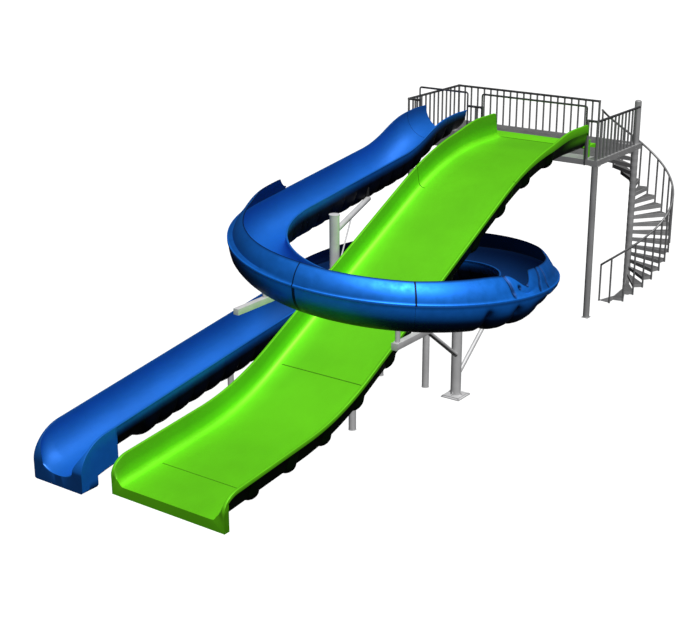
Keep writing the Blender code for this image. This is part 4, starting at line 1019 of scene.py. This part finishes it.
def build_deck():
    for name in ("deck", "entry_saddle"):
        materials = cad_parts[name].data.materials
        materials.clear()
        materials.append(MATERIALS["dark"])
    bm = bmesh.new()
    low_x, high_x = DECK_X[0] + DECK_BORDER + PLANK_GAP, DECK_X[1] - DECK_BORDER - PLANK_GAP
    low_y, high_y = SILL_BACK_Y + PLANK_GAP, DECK_Y[1] - DECK_BORDER - PLANK_GAP
    low_z, high_z = DECK_FLOOR + 0.0005, DECK_FLOOR + 0.012
    edges = [blend(low_x, high_x, index / PLANKS) for index in range(PLANKS + 1)]
    for left, right in zip(edges, edges[1:]):
        top_y = STAIR_CENTRE.y - 0.14 if right - 0.002 > STAIR_CENTRE.x - 0.14 else high_y
        rounded_box(bm, (left + 0.002, low_y, low_z), (right - 0.002, top_y, high_z), 0.002)
        for y in (low_y + 0.04, (low_y + high_y) / 2, top_y - 0.04):
            for x in (left + 0.042, right - 0.042):
                upright(bm, Vector((x, y, DECK_FLOOR)), 0.011, 0.015, 0.010, 10, 1)
    front_y = DECK_Y[0] + DECK_BORDER + PLANK_GAP
    for left, right in ((low_x, SILL_X[0] - PLANK_GAP), (SILL_X[1] + PLANK_GAP, high_x)):
        rounded_box(bm, (left, front_y, low_z), (right, low_y - PLANK_GAP, high_z), 0.002)
    add_piece("deck_planks", bm, ("plate", "bolt"))

    bm = bmesh.new()
    spots = [(x, DECK_Y[1], (0, 1, 0)) for x in spaced(DECK_X[0] + 0.25, DECK_X[1] - 0.25, 0.62)]
    for y in spaced(DECK_Y[0] + 0.2, DECK_Y[1] - 0.35, 0.6):
        spots += [(DECK_X[0], y, (-1, 0, 0)), (DECK_X[1], y, (1, 0, 0))]
    for x, y, facing in spots:
        for z in (DECK_TOP - 0.04, DECK_TOP - 0.115):
            bolt(bm, (x, y, z), facing, 0.010)
    for x, y in DECK_POSTS.values():
        front, back = (0.12, 0.09) if y > 7 else (0.09, 0.12)
        top = DECK_UNDERSIDE - 0.0005
        rounded_box(bm, (x - 0.12, y - front, DECK_UNDERSIDE - 0.016), (x + 0.12, y + back, top), 0.003)
    add_piece("deck_fixings", bm, ("dark", "bolt"))


def build_deck_posts():
    for name, place in DECK_POSTS.items():
        bm = bmesh.new()
        foot = Vector((*place, 0))
        upright(bm, foot, 0.010, DECK_UNDERSIDE - 0.012, POST_RADIUS, 40)
        upright(bm, foot, 0.010, 0.026, POST_RADIUS + 0.008, 40, radius_end=POST_RADIUS + 0.001)
        base_plate(bm, foot, 0.10, 0.10, 0.012, 0.009, 0.018, 0.003)
        add_piece(name + "_pipe", bm, ("dark", "bolt"), [name])


# Railings

def rail_panel(name, start, end, posts):
    """A railing of pipe: a top rail with capped ends on balusters that stand on the deck, and end posts."""
    bm = bmesh.new()
    first, last = Vector((*start, 0)), Vector((*end, 0))
    foot, high = DECK_TOP + 0.0005, RAIL_TOP - RAIL_RADIUS
    tube(bm, [first.lerp(last, step / 4) + UP * high for step in range(5)], RAIL_RADIUS, 16, 1)
    for place in posts:
        post = Vector((*place, 0))
        upright(bm, post, foot, high, RAIL_RADIUS * 0.97)
        upright(bm, post, foot, DECK_TOP + 0.008, RAIL_RADIUS * 1.35)
        upright(bm, post, high - RAIL_RADIUS * 1.3, high + RAIL_RADIUS * 0.9, RAIL_RADIUS * 1.12)
    count = max(1, round((last - first).length / BALUSTER_PITCH))
    for index in range(1, count):
        place = first.lerp(last, index / count)
        upright(bm, place, foot, high, BALUSTER_RADIUS, 12)
        upright(bm, place, foot, DECK_TOP + 0.006, BALUSTER_RADIUS * 1.3, 12)
        upright(bm, place, high - RAIL_RADIUS - 0.004, high - RAIL_RADIUS + 0.006, BALUSTER_RADIUS * 1.2, 12)
    add_piece(f"railing_{name}", bm, ("rail", "rail_dark"), [f"rail_{name}"])


def build_railings():
    left_x, right_x = DECK_X[0] + RAIL_INSET, DECK_X[1] - RAIL_INSET - 0.02
    front_y, rear_y = DECK_Y[0] + RAIL_INSET, DECK_Y[1] - RAIL_INSET
    stair_y = STAIR_CENTRE.y - STAIR_COLUMN_RADIUS * 0.6
    clear = RAIL_RADIUS + GAP
    rail_panel("left", (left_x, front_y - 0.01), (left_x, rear_y - clear), [(left_x, front_y)])
    rail_panel("rear", (left_x - 0.01, rear_y), (REAR_RAIL_END_X + 0.01, rear_y),
               [(left_x, rear_y), (REAR_RAIL_END_X, rear_y)])
    rail_panel("right", (right_x, front_y - 0.01), (right_x, stair_y), [(right_x, front_y)])
    for name, start_x, end_x in (("front_left", left_x + clear, BLUE_HEADER_X[0]),
                                 ("front_middle", BLUE_HEADER_X[1], GREEN_HEADER_X[0]),
                                 ("front_right", GREEN_HEADER_X[1], right_x - clear)):
        post_x = start_x + 0.03 if name == "front_right" else end_x - 0.03
        rail_panel(name, (start_x, front_y), (end_x, front_y), [(post_x, front_y)])


def build_headers():
    """The goal-shaped bars over the two starts, bolted to the platform's front edge."""
    bar = HEADER_TOP - HEADER_RADIUS
    for name, (left, right) in (("header_blue", BLUE_HEADER_X), ("header_green", GREEN_HEADER_X)):
        bm = bmesh.new()
        points = [(left, HEADER_Y, height) for height in (DECK_UNDERSIDE, 5.0, bar - HEADER_BEND)]
        for turn in map(math.radians, (20, 45, 70, 90)):
            height = bar - HEADER_BEND * (1 - math.sin(turn))
            points.append((left + HEADER_BEND * (1 - math.cos(turn)), HEADER_Y, height))
        mirrored = [(left + right - x, y, z) for x, y, z in reversed(points)]
        tube(bm, points + [((left + right) / 2, HEADER_Y, bar)] + mirrored, HEADER_RADIUS, 14, 2)
        sleeve = [(x, HEADER_Y, bar) for x in (left + HEADER_BEND, right - HEADER_BEND)]
        tube(bm, sleeve, HEADER_RADIUS + 0.005, 14, 2)
        for x in (left, right):
            for z in (DECK_UNDERSIDE + 0.035, DECK_TOP - 0.035):
                bolt(bm, (x, HEADER_Y - HEADER_RADIUS, z), (0, -1, 0), 0.007)
        add_piece(name + "_pipe", bm, ("rail", "bolt", "rail_dark"), [name])


# Spiral stair

def stair_point(angle, radius, height):
    turn = math.radians(angle)
    return STAIR_CENTRE + Vector((radius * math.cos(turn), radius * math.sin(turn), height))


def tread_edge(number):
    return LAST_EDGE - TREAD_TURN * (RISERS - 1 - number)


def border_of(layer):
    """The outer loop of a grid of vertices."""
    right = [row[-1] for row in layer[1:-1]]
    left = [row[0] for row in reversed(layer[1:-1])]
    return layer[0] + right + layer[-1][::-1] + left


def stair_slab(bm, angles, radii, low, high, inset=0.0, index=0):
    """A slab round the stair's column between two heights, drawn in at its sides and its outer edge."""
    layers = []
    for height in (low, high):
        layer = []
        for radius in radii:
            pull = math.degrees(inset / max(radius, 0.2))
            shifted = [angles[0] + pull] + angles[1:-1] + [angles[-1] - pull]
            reach = radius - inset if radius == radii[-1] else radius
            layer.append([bm.verts.new(stair_point(angle, reach, height)) for angle in shifted])
        layers.append(layer)
        for row, other in zip(layer, layer[1:]):
            for corners in zip(row, row[1:], other[1:], other):
                bm.faces.new(corners).material_index = index
    join_rings(bm, [border_of(layer) for layer in layers], index, caps=False)


def build_treads():
    bm = bmesh.new()
    radii = (STAIR_COLUMN_RADIUS + 0.004, 0.35, 0.7, 1.0, STAIR_RADIUS - 0.012, STAIR_RADIUS)
    nosing = (0.14, 0.5, 0.9, STAIR_RADIUS - 0.01)
    for number in range(1, RISERS):
        last, top = tread_edge(number), RISE * number
        first = last - TREAD_TURN - TREAD_OVERLAP
        angles = [blend(first, last, step / 6) for step in range(7)]
        stair_slab(bm, angles, radii, top - TREAD_PLATE, top)
        stair_slab(bm, angles, radii, top - TREAD_DEPTH, top - TREAD_PLATE, 0.004, 1)
        tube(bm, [stair_point(first + 0.25, radius, top - 0.003) for radius in nosing], 0.0075, 8, 1)
        upright(bm, STAIR_CENTRE, top - TREAD_DEPTH, top, STAIR_COLUMN_RADIUS + 0.003, 40, 1)
    add_piece("stair_treads", bm, ("plate", "dark"), [f"tread_{number:02d}" for number in range(1, RISERS)])


def build_stair_column():
    """A pipe with a domed top on a bolted plate."""
    bm = bmesh.new()
    rings = []
    levels = [(0.012, STAIR_COLUMN_RADIUS)]
    for turn in map(math.radians, (0, 15, 30, 45, 60, 75, 89)):
        size = STAIR_COLUMN_RADIUS * max(0.02, math.cos(turn))
        levels.append((STAIR_COLUMN_TOP - 0.05 * (1 - math.sin(turn)), size))
    for height, size in levels:
        rings.append([bm.verts.new(stair_point(9 * step, size, height)) for step in range(40)])
    join_rings(bm, rings)
    base_plate(bm, STAIR_CENTRE, 0.16, 0.16, 0.012, 0.012, 0.03, 0.003)
    add_piece("stair_column_pipe", bm, ("dark", "bolt"), ["stair_column"])


def handrail_height(angle):
    return HANDRAIL_FOOT_TOP + HANDRAIL_CLIMB * (angle - HANDRAIL_START)


def build_handrail():
    """The handrail on its balusters, two of which stand on a foot plate on the ground."""
    bm = bmesh.new()
    radius = STAIR_RADIUS + GAP + BALUSTER_RADIUS * math.cos(math.pi / 8)
    angles = spaced(HANDRAIL_START, HANDRAIL_END, 3.0)
    tube(bm, [stair_point(angle, radius, handrail_height(angle)) for angle in angles], RAIL_RADIUS * 0.9, 14)
    places = [(HANDRAIL_START, 0.0), (SECOND_NEWEL, 0.0)]
    places += [(tread_edge(n) - TREAD_OVERLAP / 2, RISE * n - TREAD_DEPTH) for n in range(1, RISERS - 1)]
    for angle, foot in places:
        base = stair_point(angle, radius, 0)
        upright(bm, base, foot, handrail_height(angle), BALUSTER_RADIUS, 14)
        if foot:
            for height in (0.030, 0.080):
                spot = stair_point(angle, radius + BALUSTER_RADIUS, foot + height)
                bolt(bm, spot, base - STAIR_CENTRE, 0.006)
        else:
            upright(bm, base, 0.0, 0.008, 0.035, 20)
    angles = spaced(HANDRAIL_START - 0.5, SECOND_NEWEL - 1.5, 4)
    stair_slab(bm, angles, (STAIR_COLUMN_RADIUS + 0.08, 0.6, STAIR_RADIUS - 0.002), 0.0, 0.014)
    add_piece("stair_handrail", bm, ("rail", "bolt"), ["stair_rail"])


# Supports

def gusset(bm, direction):
    """A triangular stiffener against the main column's foot."""
    side = direction.cross(UP) * 0.006
    profile = [MAIN_COLUMN + direction * (COLUMN_RADIUS + reach) + UP * height for reach, height in GUSSET]
    join_rings(bm, [[bm.verts.new(point + shift) for point in profile] for shift in (side, -side)])


def arm(bm, x, start_y, end_y, height):
    low = (x - ARM_HALF, start_y, height - ARM_HALF)
    rounded_box(bm, low, (x + ARM_HALF, end_y, height + ARM_HALF), 0.012)


def station_over(foot, lap=0):
    """The loop's station over a point of the ground, on its first or second lap."""
    spoke = foot - LOOP_CENTRE
    return loop_station(math.degrees(math.atan2(spoke.y, spoke.x)) % 360 + 360 * lap)


def skin_height(foot, lap=0):
    """Height of the loop's underside over a point of the ground."""
    offset = (foot - LOOP_CENTRE).length - LOOP_RADIUS
    return station_over(foot, lap)[0].z + PIPE_RADIUS - math.sqrt(PIPE_SKIN ** 2 - offset ** 2)


def leaning_stub(bm, foot, low):
    """A post below the loop whose head leans square to the laminate and ends in a round pad."""
    origin, outward, _ = station_over(foot)
    offset = (foot - origin).dot(outward) / (1 + STUB_LEAN / PIPE_SKIN)
    drop = math.sqrt(PIPE_SKIN ** 2 - offset ** 2)
    skin = origin + outward * offset + UP * (PIPE_RADIUS - drop)
    normal = (outward * offset - UP * drop) / PIPE_SKIN
    elbow = skin + normal * STUB_LEAN
    rod(bm, foot + UP * low, elbow + UP * 0.03, STUB_RADIUS, 28)
    rod(bm, elbow + normal * 0.02, skin + normal * 0.002, STUB_RADIUS, 28)
    rod(bm, skin + normal * 0.035, skin + normal * 0.001, 0.10, 28)


def main_column(bm):
    upright(bm, MAIN_COLUMN, 0.04, MAIN_COLUMN_TOP, COLUMN_RADIUS, 48)
    base_plate(bm, MAIN_COLUMN, 0.25, 0.275, 0.025)
    for height, half in ((0.037, (0.205, 0.2255, 0.013)), (MAIN_COLUMN_TOP, (0.14, 0.14, 0.01))):
        middle = MAIN_COLUMN + UP * height
        rounded_box(bm, middle - Vector(half), middle + Vector(half))
    for direction in ((1, 0, 0), (-1, 0, 0), (0, 1, 0), (0, -1, 0)):
        gusset(bm, Vector(direction))


def main_arm_front(bm):
    x = FRONT_ARM_X
    end_y, stub_y, height = FRONT_ARM
    stub = Vector((x, stub_y, 0))
    arm(bm, x, end_y, MAIN_COLUMN.y, height)
    rod(bm, MAIN_COLUMN + Vector((0.05, -0.12, 1.10)), (x, MAIN_COLUMN.y - 1.55, 2.13), 0.055, 28)
    leaning_stub(bm, stub, 2.2)
    upright(bm, stub, 2.225, 2.24, 0.085, 28)
    middle, half = Vector((x, end_y, height)), Vector((0.085, 0.006, 0.085))
    rounded_box(bm, middle - half, middle + half, 0.003)


def main_arm_rear(bm):
    end_y, stub_y, height = REAR_ARM
    stub = Vector((MAIN_COLUMN.x, stub_y, 0))
    arm(bm, MAIN_COLUMN.x, MAIN_COLUMN.y + 0.1, end_y, height)
    rod(bm, MAIN_COLUMN + Vector((0, 0.11, 0.53)), MAIN_COLUMN + Vector((0, 1.6, 1.68)), 0.05, 24)
    upright(bm, stub, 1.7, skin_height(stub, 1) + 0.006, STUB_RADIUS, 28)


def loop_column(bm):
    upright(bm, LOOP_COLUMN, 0.01, LOOP_COLUMN_TOP - 0.02, COLUMN_RADIUS, 48)
    upright(bm, LOOP_COLUMN, LOOP_COLUMN_TOP - 0.03, LOOP_COLUMN_TOP, COLUMN_RADIUS + 0.012, 48, bevel=0.004)
    base_plate(bm, LOOP_COLUMN, 0.15, 0.15, 0.02)


def loop_arm_front(bm):
    end_y, stub_y, height = LOOP_ARM
    stub = Vector((LOOP_COLUMN.x, stub_y, 0))
    top = skin_height(stub)
    arm(bm, LOOP_COLUMN.x, end_y, LOOP_COLUMN.y - 0.1, height)
    upright(bm, stub, height, top + 0.006, STUB_RADIUS, 28)
    upright(bm, stub, top - 0.04, top + 0.004, 0.10, 28, radius_end=0.12)


def loop_brace(bm):
    """The strut from the column's head to the straight run above, and a stay up to the last turn's rim."""
    root = LOOP_COLUMN + UP * BRACE_ROOT_Z
    rod(bm, root + (BRACE_TIP - root).normalized() * 0.10, BRACE_TIP, 0.07, 28, bevel=0.006)
    stub = BRACE_TIP - Vector((0, 0.05, 0.02))
    upright(bm, stub, 0.0, 4.14 - stub.z, 0.05, 24, 2)
    origin, outward, rim = loop_station(STAY_FOOT_ANGLE)
    foot = origin - outward * (PIPE_RADIUS + PIPE_FLANGE_HALF) / 2 + UP * (rim + 0.002)
    rod(bm, root.lerp(BRACE_TIP, 0.5), foot + UP * 0.04, 0.019, 14)
    upright(bm, foot, 0.0, 0.06, 0.018, 14, bevel=0.003)


def trestle(bm, y):
    feet = [Vector((slide_centre(y) + side * SLIDE_POST_SPREAD, y, 0)) for side in (-1, 1)]
    floor = slide_floor(y)
    for foot in feet:
        upright(bm, foot, 0.0, floor - SHELL - 0.05, SLIDE_POST_RADIUS, 36)
        upright(bm, foot, 0.0, 0.008, SLIDE_POST_RADIUS + 0.01, 36)
    rounded_box(bm, (feet[0].x, y - 0.05, floor - 0.3), (feet[1].x, y + 0.05, floor - 0.2), 0.010)


def slide_trestle_high(bm):
    trestle(bm, SLIDE_POST_Y[0])


def slide_trestle_low(bm):
    trestle(bm, SLIDE_POST_Y[1])


def runout_post(bm):
    foot = Vector((EXIT_X, RUNOUT_POST_Y, 0))
    upright(bm, foot, 0.01, exit_station(RUNOUT_POST_Y)[0].z - SHELL + 0.004, 0.075, 32)
    base_plate(bm, foot, 0.12, 0.12, 0.015, 0.010)


def build_supports():
    bolted, padded = ("grey", "bolt"), ("grey", "bolt", "pad")
    for shape, kind, materials in ((main_column, "pipe", bolted), (main_arm_front, "beam", bolted),
                                   (main_arm_rear, "beam", bolted), (loop_column, "pipe", bolted),
                                   (loop_arm_front, "beam", bolted), (loop_brace, "pipe", padded),
                                   (slide_trestle_high, "frame", ("grey",)),
                                   (slide_trestle_low, "frame", ("grey",)),
                                   (runout_post, "pipe", bolted)):
        bm = bmesh.new()
        shape(bm)
        add_piece(f"{shape.__name__}_{kind}", bm, materials, [shape.__name__])


# Floor, light and camera

def studio_piece(bm, name, material_name, glow, inputs, *hidden_rays):
    """Floor or backdrop in a plain glowing material, not seen by some kinds of ray."""
    item = meshed(name, bm)
    material = bpy.data.materials.new(material_name)
    material.use_nodes = True
    inputs = {"Specular IOR Level": 0.0, "Emission Color": WHITE, "Emission Strength": glow, **inputs}
    feed(material.node_tree.nodes["Principled BSDF"], inputs)
    item.data.materials.append(material)
    for ray in hidden_rays:
        setattr(item, "visible_" + ray, False)


def sun(name, toward, strength, angle, shadow):
    light = bpy.data.lights.new(name, "SUN")
    light.energy = strength
    light.angle = math.radians(angle)
    light.use_shadow = shadow
    placed(name, light).rotation_euler = Vector(toward).to_track_quat("Z", "Y").to_euler()


def build_stage():
    bm = bmesh.new()
    ground = Matrix.Translation(UP * -0.0005)
    bmesh.ops.create_circle(bm, cap_ends=True, segments=96, radius=400, matrix=ground)
    floor = {"Base Color": (0.5, 0.5, 0.5, 1), "Roughness": 0.95}
    studio_piece(bm, "studio_floor", "pale_floor", 0.36, floor, "diffuse", "glossy")
    bm = bmesh.new()
    bmesh.ops.create_uvsphere(bm, u_segments=48, v_segments=24, radius=450)
    studio_piece(bm, "studio_backdrop", "white_backdrop", 1.0, {"Base Color": (0, 0, 0, 1)},
                 "diffuse", "glossy", "transmission", "volume_scatter", "shadow")
    world = bpy.data.worlds.new("studio")
    world.use_nodes = True
    feed(world.node_tree.nodes["Background"], {"Color": WHITE, "Strength": 0.02})
    bpy.context.scene.world = world
    sun("key", (0.36, -0.29, 0.885), 4.9, 10, False)
    sun("overhead", (0.35, -0.15, 0.92), 0.45, 35, True)


def build_camera():
    camera = bpy.data.cameras.new("photo_camera")
    camera.lens = 70.1
    camera.sensor_width = 36
    camera.clip_end = 1000
    item = placed("photo_camera", camera)
    item.location = Vector((17.3, -27.35, 12.617)) + SHIFT
    item.rotation_euler = (math.radians(71.0), 0.0, math.radians(35.43))
    bpy.context.scene.camera = item
    bpy.context.scene.view_settings.view_transform = "Standard"


build_wide_slide()
build_sill()
build_half_pipe()
build_splash_walls()
build_joint_bands()
build_deck()
build_deck_posts()
build_railings()
build_headers()
build_treads()
build_stair_column()
build_handrail()
build_supports()
build_stage()
build_camera()
